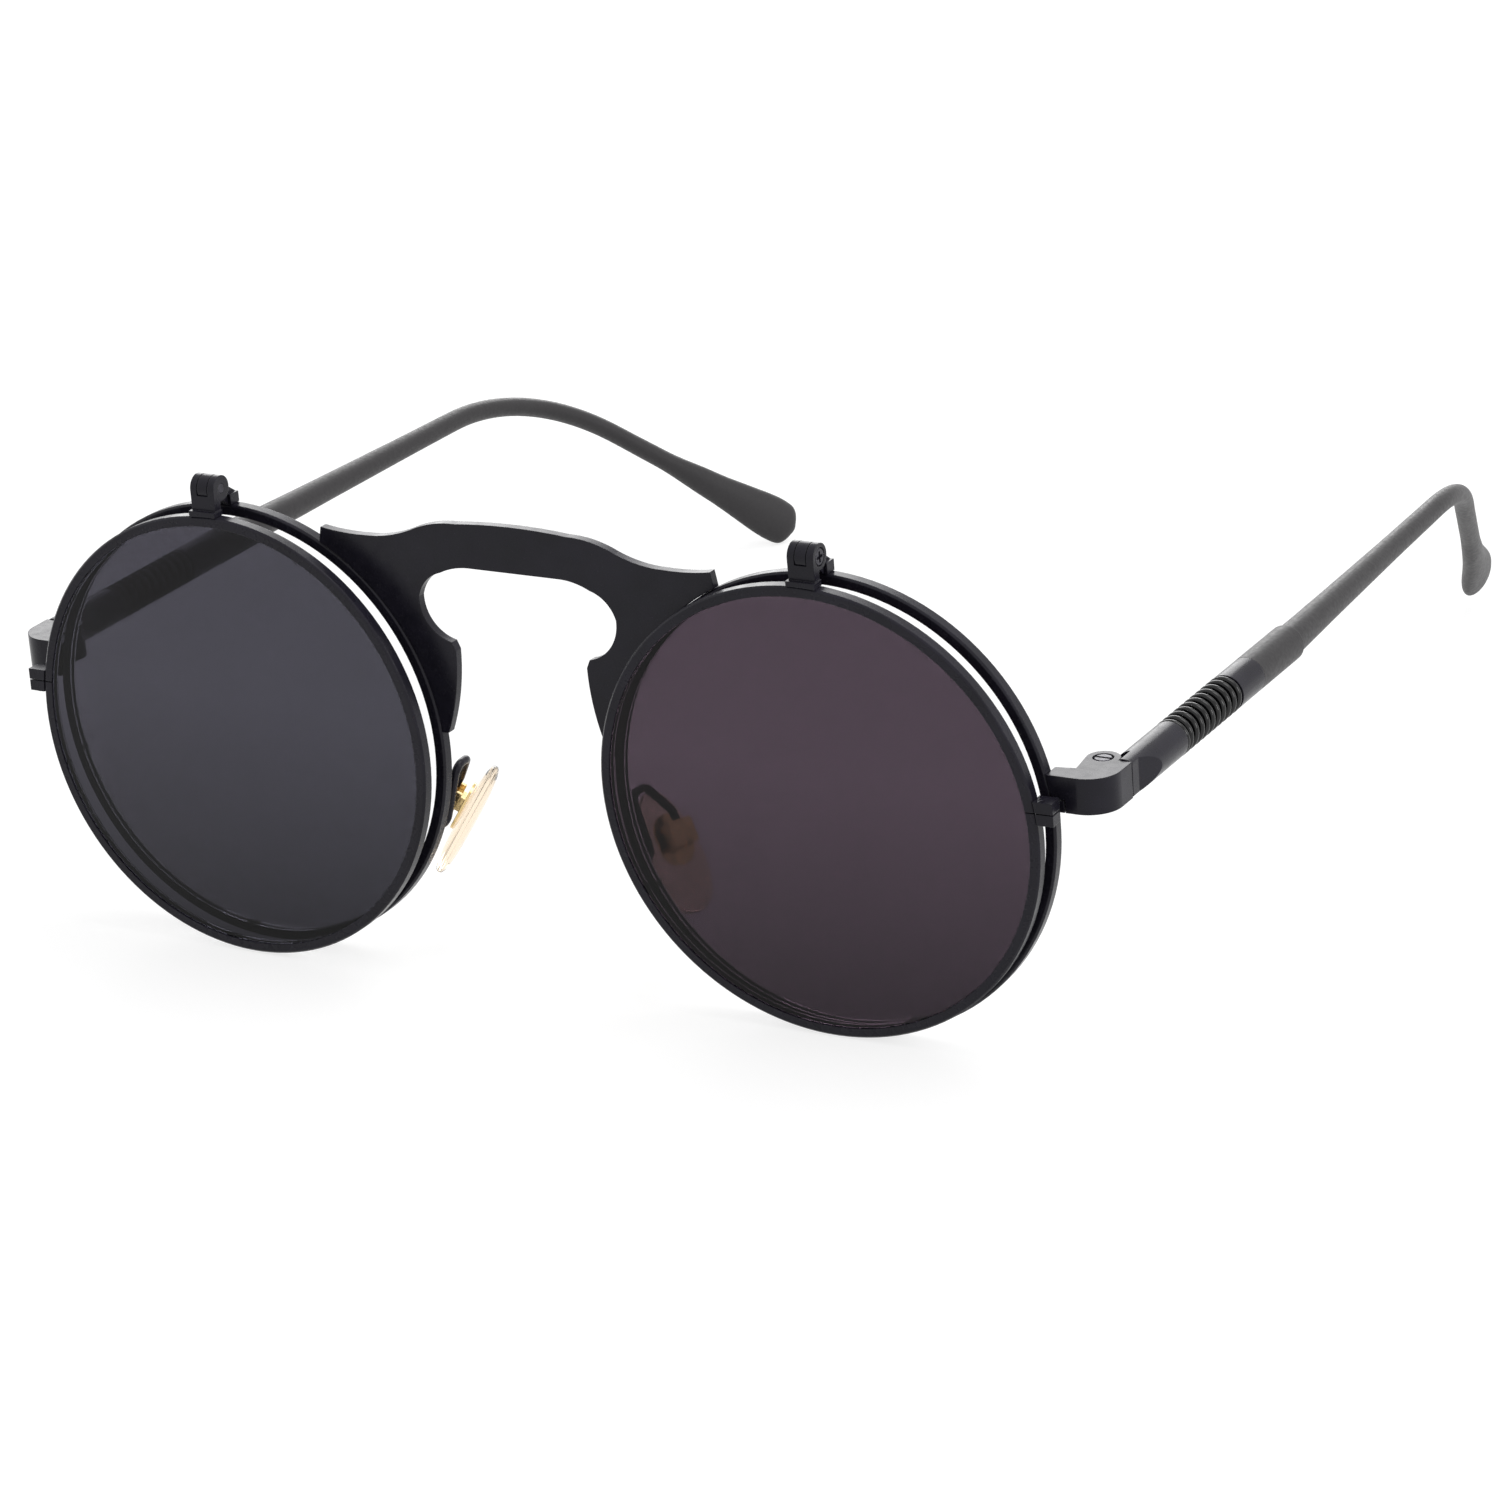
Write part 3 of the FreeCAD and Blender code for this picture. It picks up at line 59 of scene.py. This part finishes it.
def colour(name, description, default):
    """A colour that a user can change."""
    return FloatVectorProperty(
        name=name, description=description, subtype="COLOR", size=3, min=0.0, max=1.0,
        default=default,
    )


def measure(name, description, default):
    """A length that a user can change."""
    return FloatProperty(
        name=name, description=description, default=default, unit="LENGTH", precision=5
    )


class FinishSettings(bpy.types.PropertyGroup):
    """Colours of the coatings, lenses, pads and floor."""

    coating: colour("Coating", "Satin black coating of the frame", (0.0150, 0.0138, 0.0215))
    coil: colour("Coil", "Glossy black of the temple coils", (0.0035, 0.0035, 0.0040))
    tip: colour("Tip", "Soft charcoal of the temple tips", (0.022, 0.020, 0.022))
    left_tint: colour("Left tint", "Tint of the wearer's left lens", (0.060, 0.041, 0.057))
    right_tint: colour("Right tint", "Tint of the wearer's right lens", (0.052, 0.050, 0.065))
    clear: colour("Clear", "Clear lens", (0.985, 0.988, 0.99))
    pad: colour("Pad", "Clear pad with a warm tone", (1.0, 0.85, 0.67))
    gold: colour("Gold", "Pad boxes, plates and screws", (0.78, 0.58, 0.28))
    floor: colour("Floor", "Pale floor", (0.36, 0.36, 0.36))


class CoilSettings(bpy.types.PropertyGroup):
    """Sizes of the coils round the temple rods."""

    wire: measure("Wire", "Thickness of the coil's wire", 0.72 * MM)
    turns: IntProperty(name="Turns", description="Turns of the coil", default=11, min=3)


class PadSettings(bpy.types.PropertyGroup):
    """Sizes of the nose pads."""

    length: measure("Length", "Length of a pad", 13.5 * MM)
    width: measure("Width", "Width of a pad", 7.2 * MM)
    thickness: measure("Thickness", "Thickness of a pad", 1.9 * MM)
    taper: FloatProperty(
        name="Taper", description="How much narrower a pad is at its top", default=0.16,
        min=0.0, max=0.5,
    )


class StageSettings(bpy.types.PropertyGroup):
    """The camera and the floor."""

    lens: FloatProperty(name="Lens", description="Focal length", default=121.85, unit="CAMERA")
    eye: FloatVectorProperty(
        name="Eye", description="Where the camera stands", subtype="XYZ", unit="LENGTH",
        default=(0.26650, -0.475486, 0.21295),
    )
    floor_reach: FloatProperty(
        name="Floor", description="Half the floor's width", default=3.0, unit="LENGTH"
    )


class Finish(NamedTuple):
    """How a surface varies in shade, gloss and relief, each over a noise of its own scale."""

    name: str
    shade_grain: float
    shade_shares: tuple  # darkest and lightest, as shares of the colour
    gloss_grain: float
    roughness: tuple  # least and most
    relief_grain: float
    relief_strength: float
    relief_height: float
    relief_detail: float = 2.0
    edge: float = 0.0  # radius that softens the edges
    sockets: dict = {}  # other values of the shader


BLACK_COATING = Finish(
    name="satin_black_coating",
    shade_grain=260.0, shade_shares=(0.8, 1.25),
    gloss_grain=900.0, roughness=(0.22, 0.32),
    relief_grain=5200.0, relief_strength=0.12, relief_height=0.02 * MM, relief_detail=3.0,
    edge=0.14 * MM,
    sockets={"Specular IOR Level": 0.2},
)
COIL_ENAMEL = Finish(
    name="glossy_coil_enamel",
    shade_grain=700.0, shade_shares=(0.8, 1.3),
    gloss_grain=1500.0, roughness=(0.15, 0.24),
    relief_grain=6000.0, relief_strength=0.06, relief_height=0.02 * MM,
    sockets={"Specular IOR Level": 0.4},
)
SCREW_STEEL = Finish(
    name="blackened_screw",
    shade_grain=1800.0, shade_shares=(1.0, 2.2),
    gloss_grain=3000.0, roughness=(0.24, 0.4),
    relief_grain=8000.0, relief_strength=0.1, relief_height=0.02 * MM,
    edge=0.08 * MM,
    sockets={"Metallic": 0.35},
)
SOFT_TIP = Finish(
    name="soft_charcoal_tip",
    shade_grain=120.0, shade_shares=(0.88, 1.12),
    gloss_grain=2400.0, roughness=(0.42, 0.56),
    relief_grain=4200.0, relief_strength=0.2, relief_height=0.03 * MM, relief_detail=4.0,
    edge=0.2 * MM,
    sockets={"Specular IOR Level": 0.4, "Sheen Weight": 0.08, "Sheen Roughness": 0.5},
)
PAD_SILICONE = Finish(
    name="clear_pad_silicone",
    shade_grain=500.0, shade_shares=(0.96, 1.0),
    gloss_grain=900.0, roughness=(0.02, 0.06),
    relief_grain=3000.0, relief_strength=0.05, relief_height=0.03 * MM,
    sockets={"IOR": 1.36, "Transmission Weight": 1.0},
)
GOLD_PLATE = Finish(
    name="gold_tone_plating",
    shade_grain=800.0, shade_shares=(0.9, 1.08),
    gloss_grain=2500.0, roughness=(0.16, 0.3),
    relief_grain=6000.0, relief_strength=0.08, relief_height=0.02 * MM,
    edge=0.08 * MM,
    sockets={"Metallic": 1.0},
)
GLASS = {"Roughness": 0.0, "Transmission Weight": 1.0}
CLEAR_IOR = 1.3
CLEAR_GRAIN = 40.0
CLEAR_DIM_SHARE = 0.99
TINTED_IOR = 1.25
# Height is measured up a lens between these heights, and the lens's colour is this much darker at
# the foot
TINT_HEIGHTS = (1.0 * MM, 48.0 * MM)
TINT_SPREAD = (0.05, 0.6)
TINT_FOOT_SHARE = 0.4


def node_material(name):
    """A new material, its tree and its principled shader."""
    material = bpy.data.materials.new(name)
    material.use_nodes = True
    tree = material.node_tree
    shader = next(node for node in tree.nodes if node.type == "BSDF_PRINCIPLED")
    return material, tree, shader


def set_sockets(node, values):
    """Set a node's inputs by name."""
    for name, value in values.items():
        node.inputs[name].default_value = value


def grain(tree, scale, detail=2.0):
    """Noise in the piece's own space, so that it moves with the piece."""
    place = tree.nodes.new("ShaderNodeTexCoord")
    noise = tree.nodes.new("ShaderNodeTexNoise")
    set_sockets(noise, {"Scale": scale, "Detail": detail})
    tree.links.new(place.outputs["Object"], noise.inputs["Vector"])
    return noise.outputs["Fac"]


def ramp(tree, source, low, high, spread=(0.3, 0.7)):
    """A value spread between a low and a high colour."""
    node = tree.nodes.new("ShaderNodeValToRGB")
    ends = node.color_ramp.elements
    for end, position, shade in zip(ends, spread, (low, high)):
        end.position = position
        end.color = (*shade, 1.0)
    tree.links.new(source, node.inputs["Fac"])
    return node.outputs["Color"]


def grey(value):
    """A grey of one value."""
    return (value, value, value)


def lighter(shade, factor):
    """A colour times a factor, up to white."""
    return tuple(min(channel * factor, 1.0) for channel in shade)


def relief(tree, shader, height, strength, distance, edge):
    """Fine relief on a shader, over edges that are softened by a small radius."""
    bump = tree.nodes.new("ShaderNodeBump")
    set_sockets(bump, {"Strength": strength, "Distance": distance})
    tree.links.new(height, bump.inputs["Height"])
    if edge:
        bevel = tree.nodes.new("ShaderNodeBevel")
        bevel.samples = 6
        bevel.inputs["Radius"].default_value = edge
        tree.links.new(bevel.outputs["Normal"], bump.inputs["Normal"])
    tree.links.new(bump.outputs["Normal"], shader.inputs["Normal"])


def surface(finish, shade):
    """A material with a finish, in a colour."""
    material, tree, shader = node_material(finish.name)
    shades = (lighter(shade, share) for share in finish.shade_shares)
    tone = ramp(tree, grain(tree, finish.shade_grain), *shades)
    tree.links.new(tone, shader.inputs["Base Color"])
    greys = (grey(value) for value in finish.roughness)
    gloss = ramp(tree, grain(tree, finish.gloss_grain), *greys)
    tree.links.new(gloss, shader.inputs["Roughness"])
    set_sockets(shader, finish.sockets)
    height = grain(tree, finish.relief_grain, finish.relief_detail)
    relief(tree, shader, height, finish.relief_strength, finish.relief_height, finish.edge)
    return material


def height_share(tree, low, high):
    """How far up a piece a point is, from 0 at a low height to 1 at a high one."""
    place = tree.nodes.new("ShaderNodeTexCoord")
    parts = tree.nodes.new("ShaderNodeSeparateXYZ")
    tree.links.new(place.outputs["Object"], parts.inputs["Vector"])
    share = tree.nodes.new("ShaderNodeMapRange")
    set_sockets(share, {"From Min": low, "From Max": high})
    tree.links.new(parts.outputs["Z"], share.inputs["Value"])
    return share.outputs["Result"]


def clear_glass(shade):
    """A clear, polished lens with the faintest unevenness in its shade."""
    material, tree, shader = node_material("clear_lens")
    shades = ramp(tree, grain(tree, CLEAR_GRAIN), lighter(shade, CLEAR_DIM_SHARE), shade)
    tree.links.new(shades, shader.inputs["Base Color"])
    set_sockets(shader, {**GLASS, "IOR": CLEAR_IOR})
    return material


def tinted_glass(name, tint):
    """A polished lens dyed dark, and darker towards its foot."""
    material, tree, shader = node_material(name)
    share = height_share(tree, *TINT_HEIGHTS)
    shades = ramp(tree, share, lighter(tint, TINT_FOOT_SHARE), tint, TINT_SPREAD)
    tree.links.new(shades, shader.inputs["Base Color"])
    set_sockets(shader, {**GLASS, "IOR": TINTED_IOR})
    return material


def finish_node(material, node):
    """Give a finish to a CAD node."""
    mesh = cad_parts[node].data
    mesh.materials.clear()
    mesh.materials.append(material)


def finish_pairs(material, names):
    """Give a finish to the CAD nodes of these names on both sides."""
    for side in SIDES:
        for name in names:
            finish_node(material, f"{side}_{name}")


class SUNGLASSES_OT_frame_metal(bpy.types.Operator):
    """Coat the rims, bridge, hinges, locks, rods and pad arms in satin black"""

    bl_idname = "sunglasses.frame_metal"
    bl_label = "Frame Metal"

    def execute(self, context):
        coating = surface(BLACK_COATING, context.scene.sunglasses_finish.coating)
        finish_pairs(coating, (
            "rim", "flip_rim", "end_piece", "rim_lock", "flip_lock_upper", "flip_lock_lower",
            "flip_leaf", "flip_bracket", "temple_front", "temple_core", "temple_sleeve", "pad_arm",
        ))
        finish_node(coating, "bridge")
        return {"FINISHED"}


class SUNGLASSES_OT_screws(bpy.types.Operator):
    """Blacken the hinge and lock screws"""

    bl_idname = "sunglasses.screws"
    bl_label = "Screws"

    def execute(self, context):
        steel = surface(SCREW_STEEL, context.scene.sunglasses_finish.coating)
        screws = ("temple_screw", "rim_lock_screw", "flip_lock_screw", "flip_hinge_screw")
        finish_pairs(steel, screws)
        return {"FINISHED"}


class SUNGLASSES_OT_lenses(bpy.types.Operator):
    """Make the fixed lenses clear and the flip-up lenses dark"""

    bl_idname = "sunglasses.lenses"
    bl_label = "Lenses"

    def execute(self, context):
        finish = context.scene.sunglasses_finish
        finish_pairs(clear_glass(finish.clear), ("clear_lens",))
        for side in SIDES:
            tint = getattr(finish, f"{side}_tint")
            finish_node(tinted_glass(f"{side}_dark_lens", tint), f"{side}_tinted_lens")
        return {"FINISHED"}


class SUNGLASSES_OT_temple_tips(bpy.types.Operator):
    """Cover the temple tips in soft charcoal"""

    bl_idname = "sunglasses.temple_tips"
    bl_label = "Temple Tips"

    def execute(self, context):
        finish_pairs(surface(SOFT_TIP, context.scene.sunglasses_finish.tip), ("temple_tip",))
        return {"FINISHED"}


COIL_POINTS_PER_TURN = 24
# At each end of a coil this much of a turn closes up, and rises by this share of the wire
COIL_CLOSING_TURN = 0.7
COIL_CLOSING_RISE = 0.25


def coil_curve(name, centre, radius, length, wire, turns):
    """A coil along Y whose end turns close up against the shoulders."""
    rise = wire * COIL_CLOSING_RISE
    run = length - wire
    open_turns = turns - 2 * COIL_CLOSING_TURN
    curve = bpy.data.curves.new(name, "CURVE")
    curve.dimensions = "3D"
    curve.bevel_depth = wire / 2
    curve.bevel_resolution = 6
    curve.use_fill_caps = True
    spline = curve.splines.new("NURBS")
    spline.points.add(turns * COIL_POINTS_PER_TURN)
    for index, point in enumerate(spline.points):
        turn = index / COIL_POINTS_PER_TURN
        left = turns - turn
        if turn < COIL_CLOSING_TURN:
            along = rise * (turn / COIL_CLOSING_TURN) ** 2
        elif left < COIL_CLOSING_TURN:
            along = run - rise * (left / COIL_CLOSING_TURN) ** 2
        else:
            along = rise + (run - 2 * rise) * (turn - COIL_CLOSING_TURN) / open_turns
        angle = 2 * math.pi * turn - math.pi / 2
        point.co = (
            centre.x + radius * math.cos(angle), centre.y + wire / 2 + along,
            centre.z + radius * math.sin(angle), 1.0,
        )
    spline.order_u = 4
    spline.use_endpoint_u = True
    spline.resolution_u = 3
    return curve


def new_piece(name, mesh, material):
    """A new piece of the scene from a mesh, shaded smooth."""
    mesh.shade_smooth()
    mesh.materials.append(material)
    piece = bpy.data.objects.new(name, mesh)
    bpy.context.scene.collection.objects.link(piece)
    return piece


def curve_mesh(curve):
    """A mesh from a curve."""
    carrier = bpy.data.objects.new(curve.name, curve)
    mesh = bpy.data.meshes.new_from_object(carrier)
    bpy.data.objects.remove(carrier)
    return mesh


class SUNGLASSES_OT_coils(bpy.types.Operator):
    """Wind the coils round the temple rods"""

    bl_idname = "sunglasses.coils"
    bl_label = "Coils"

    def execute(self, context):
        settings = context.scene.sunglasses_coil
        enamel = surface(COIL_ENAMEL, context.scene.sunglasses_finish.coil)
        for side in SIDES:
            low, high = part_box(f"{side}_temple_spring")
            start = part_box(f"{side}_temple_front")[1].y
            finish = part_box(f"{side}_temple_sleeve")[0].y
            middle = (low + high) / 2
            centre = Vector((middle.x, start, middle.z))
            radius = (high.z - low.z - settings.wire) / 2
            name = f"{side}_temple_coil"
            curve = coil_curve(name, centre, radius, finish - start, settings.wire, settings.turns)
            coil = new_piece(name, curve_mesh(curve), enamel)
            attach(coil, f"{side}_temple")
            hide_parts(f"{side}_temple_spring")
        return {"FINISHED"}


# The left pad's directions: out of its face towards the nose, and up along it
PAD_FACING = Vector((-0.8, 0.29, -0.523))
PAD_LEAN = Vector((-0.471, 0.196, 0.86))
PAD_STEPS_AROUND = 56
PAD_LAYERS = 18
# Powers that make the pad's edge fuller than a circle, and its outline fuller than an oval
PAD_EDGE_POWER = 2.6
PAD_OUTLINE_POWER = 0.88
# How much of the taper is taken off the width, so that the widest place keeps to it
PAD_TAPER_SHARE = 0.3


def signed_power(value, power):
    """A value's size to a power, with the value's sign."""
    return math.copysign(abs(value) ** power, value)


def pebble(length, width, thickness, taper):
    """Corners and faces of a smooth pad, in its own directions: along, across and out of it."""
    half_width = width / 2 / (1.0 + taper * PAD_TAPER_SHARE)
    points = [Vector((0.0, 0.0, -thickness / 2))]
    for layer in range(1, PAD_LAYERS):
        level = -math.cos(math.pi * layer / PAD_LAYERS)
        spread = (1.0 - abs(level) ** PAD_EDGE_POWER) ** (1 / PAD_EDGE_POWER)
        for step in range(PAD_STEPS_AROUND):
            angle = 2 * math.pi * step / PAD_STEPS_AROUND
            along = signed_power(math.cos(angle), PAD_OUTLINE_POWER)
            across = signed_power(math.sin(angle), PAD_OUTLINE_POWER) * (1.0 - taper * along)
            points.append(Vector((
                along * spread * length / 2, across * spread * half_width, level * thickness / 2
            )))
    points.append(Vector((0.0, 0.0, thickness / 2)))
    faces = []
    last = len(points) - 1
    top = 1 + (PAD_LAYERS - 2) * PAD_STEPS_AROUND
    for step in range(PAD_STEPS_AROUND):
        after = (step + 1) % PAD_STEPS_AROUND
        faces.append((0, 1 + after, 1 + step))
        for layer in range(PAD_LAYERS - 2):
            low = 1 + layer * PAD_STEPS_AROUND
            high = low + PAD_STEPS_AROUND
            faces.append((low + step, low + after, high + after, high + step))
        faces.append((top + step, top + after, last))
    return points, faces


class SUNGLASSES_OT_nose_pads(bpy.types.Operator):
    """Shape the clear nose pads and finish their gold-tone fittings"""

    bl_idname = "sunglasses.nose_pads"
    bl_label = "Nose Pads"

    def execute(self, context):
        finish = context.scene.sunglasses_finish
        settings = context.scene.sunglasses_pad
        silicone = surface(PAD_SILICONE, finish.pad)
        finish_pairs(surface(GOLD_PLATE, finish.gold), ("pad_plate", "pad_box", "pad_screw"))
        out = PAD_FACING.normalized()
        up = (PAD_LEAN - out * out.dot(PAD_LEAN)).normalized()
        across = out.cross(up)
        points, faces = pebble(
            settings.length, settings.width, settings.thickness, settings.taper
        )
        for side, sign in zip(SIDES, (1.0, -1.0)):
            low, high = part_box(f"{side}_nose_pad")
            middle = (low + high) / 2
            corners = []
            for point in points:
                place = up * point.x + across * point.y + out * point.z
                corners.append((
                    middle.x + sign * place.x, middle.y + place.y, middle.z + place.z
                ))
            turned = faces if sign > 0 else [tuple(reversed(face)) for face in faces]
            mesh = bpy.data.meshes.new(f"{side}_soft_pad")
            mesh.from_pydata(corners, [], turned)
            pad = new_piece(f"{side}_soft_pad", mesh, silicone)
            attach(pad, f"{side}_pad")
            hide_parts(f"{side}_nose_pad")
        return {"FINISHED"}


class Lamp(NamedTuple):
    """A square soft lamp: where it is, its width in metres and its power in watts."""

    name: str
    place: tuple
    width: float
    power: float


LAMPS = (
    Lamp("back_softbox", place=(-0.52, 0.95, 0.42), width=0.7, power=5.0),
    Lamp("top_softbox", place=(0.25, 0.15, 0.95), width=0.6, power=3.0),
    Lamp("side_softbox", place=(1.0, -0.05, 0.45), width=0.4, power=3.0),
)
LAMP_TARGET = Vector((0.0, 0.0, 0.02))
WORLD_LIGHT = 0.5
BACKDROP_LIGHT = 1.0
FLOOR_GLOW = 0.76
FLOOR_SURFACE = {"Roughness": 0.9, "Specular IOR Level": 0.0}
# The camera's own right, up and backward directions
CAMERA_AXES = (
    Vector((0.8731, 0.4826, -0.0693)),
    Vector((-0.1186, 0.3480, 0.9300)),
    Vector((0.4729, -0.8038, 0.3610)),
)


def seen_rays(tree):
    """1 for rays that show the background: from the camera, or by way of gloss or glass."""
    path = tree.nodes.new("ShaderNodeLightPath")
    total = path.outputs["Is Camera Ray"]
    for name in ("Is Glossy Ray", "Is Transmission Ray"):
        larger = tree.nodes.new("ShaderNodeMath")
        larger.operation = "MAXIMUM"
        tree.links.new(total, larger.inputs[0])
        tree.links.new(path.outputs[name], larger.inputs[1])
        total = larger.outputs[0]
    return total


def white_world(scene):
    """Soft light from all round, and a white background where it is seen."""
    world = bpy.data.worlds.new("white_studio")
    world.use_nodes = True
    tree = world.node_tree
    output = next(node for node in tree.nodes if node.type == "OUTPUT_WORLD")
    light = next(node for node in tree.nodes if node.type == "BACKGROUND")
    set_sockets(light, {"Color": WHITE, "Strength": WORLD_LIGHT})
    backdrop = tree.nodes.new("ShaderNodeBackground")
    set_sockets(backdrop, {"Color": WHITE, "Strength": BACKDROP_LIGHT})
    mix = tree.nodes.new("ShaderNodeMixShader")
    tree.links.new(seen_rays(tree), mix.inputs["Fac"])
    tree.links.new(light.outputs[0], mix.inputs[1])
    tree.links.new(backdrop.outputs[0], mix.inputs[2])
    tree.links.new(mix.outputs[0], output.inputs["Surface"])
    scene.world = world


def floor_material(shade):
    """A dull pale surface that glows where it is seen, so that only its shadows show."""
    material, tree, shader = node_material("pale_floor")
    shader.inputs["Base Color"].default_value = (*shade, 1.0)
    set_sockets(shader, FLOOR_SURFACE)
    glow = tree.nodes.new("ShaderNodeEmission")
    strength = tree.nodes.new("ShaderNodeMath")
    strength.operation = "MULTIPLY"
    strength.inputs[1].default_value = FLOOR_GLOW
    tree.links.new(seen_rays(tree), strength.inputs[0])
    tree.links.new(strength.outputs[0], glow.inputs["Strength"])
    both = tree.nodes.new("ShaderNodeAddShader")
    output = next(node for node in tree.nodes if node.type == "OUTPUT_MATERIAL")
    tree.links.new(shader.outputs[0], both.inputs[0])
    tree.links.new(glow.outputs[0], both.inputs[1])
    tree.links.new(both.outputs[0], output.inputs["Surface"])
    return material


def pale_floor(scene, reach, shade):
    """A wide pale floor that keeps a faint shadow."""
    mesh = bpy.data.meshes.new("floor")
    corners = [
        (-reach, -reach, 0.0), (reach, -reach, 0.0), (reach, reach, 0.0), (-reach, reach, 0.0)
    ]
    mesh.from_pydata(corners, [], [(0, 1, 2, 3)])
    mesh.materials.append(floor_material(shade))
    floor = bpy.data.objects.new("floor", mesh)
    scene.collection.objects.link(floor)


def soft_lamp(scene, lamp):
    """A soft lamp turned to the glasses."""
    data = bpy.data.lights.new(lamp.name, "AREA")
    data.shape = "SQUARE"
    data.size = lamp.width
    data.energy = lamp.power
    light = bpy.data.objects.new(lamp.name, data)
    light.location = lamp.place
    towards = LAMP_TARGET - Vector(lamp.place)
    light.rotation_euler = towards.to_track_quat("-Z", "Y").to_euler()
    scene.collection.objects.link(light)


def camera(scene, lens, eye):
    """The scene's camera."""
    data = bpy.data.cameras.new("camera")
    data.lens = lens
    data.sensor_fit = "HORIZONTAL"
    data.sensor_width = 36.0
    data.clip_start = 0.01
    data.clip_end = 50.0
    item = bpy.data.objects.new("camera", data)
    axes = Matrix(CAMERA_AXES).transposed().to_4x4()
    item.matrix_world = Matrix.Translation(eye) @ axes
    scene.collection.objects.link(item)
    scene.camera = item


class SUNGLASSES_OT_stage(bpy.types.Operator):
    """Set up the floor, the soft lamps, the white background and the camera"""

    bl_idname = "sunglasses.stage"
    bl_label = "Stage"

    def execute(self, context):
        scene = context.scene
        settings = scene.sunglasses_stage
        scene.view_settings.view_transform = "Standard"
        white_world(scene)
        pale_floor(scene, settings.floor_reach, scene.sunglasses_finish.floor)
        for lamp in LAMPS:
            soft_lamp(scene, lamp)
        camera(scene, settings.lens, settings.eye)
        return {"FINISHED"}


class SUNGLASSES_PT_panel(bpy.types.Panel):
    """Lists the sunglasses' settings and steps"""

    bl_idname = "SUNGLASSES_PT_panel"
    bl_label = "Flip-up Sunglasses"
    bl_space_type = "VIEW_3D"
    bl_region_type = "UI"
    bl_category = "Sunglasses"

    def draw(self, context):
        layout = self.layout
        for setting in SETTINGS:
            group = getattr(context.scene, setting)
            box = layout.box()
            for name in group.__annotations__:
                box.prop(group, name)
        for step in STEPS:
            layout.operator(step.bl_idname)


STEPS = (
    SUNGLASSES_OT_frame_metal,
    SUNGLASSES_OT_screws,
    SUNGLASSES_OT_lenses,
    SUNGLASSES_OT_temple_tips,
    SUNGLASSES_OT_coils,
    SUNGLASSES_OT_nose_pads,
    SUNGLASSES_OT_stage,
)
SETTINGS = {
    "sunglasses_finish": FinishSettings,
    "sunglasses_coil": CoilSettings,
    "sunglasses_pad": PadSettings,
    "sunglasses_stage": StageSettings,
}


def register():
    """Add the settings, steps and panel."""
    for name, group in SETTINGS.items():
        bpy.utils.register_class(group)
        setattr(bpy.types.Scene, name, PointerProperty(type=group))
    for step in STEPS:
        bpy.utils.register_class(step)
    bpy.utils.register_class(SUNGLASSES_PT_panel)


def unregister():
    """Take away the panel, steps and settings."""
    bpy.utils.unregister_class(SUNGLASSES_PT_panel)
    for step in reversed(STEPS):
        bpy.utils.unregister_class(step)
    for name, group in SETTINGS.items():
        delattr(bpy.types.Scene, name)
        bpy.utils.unregister_class(group)


def main():
    """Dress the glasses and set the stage."""
    register()
    for step in STEPS:
        name = step.bl_idname.split(".")[1]
        getattr(bpy.ops.sunglasses, name)()


if __name__ == "__main__":
    main()
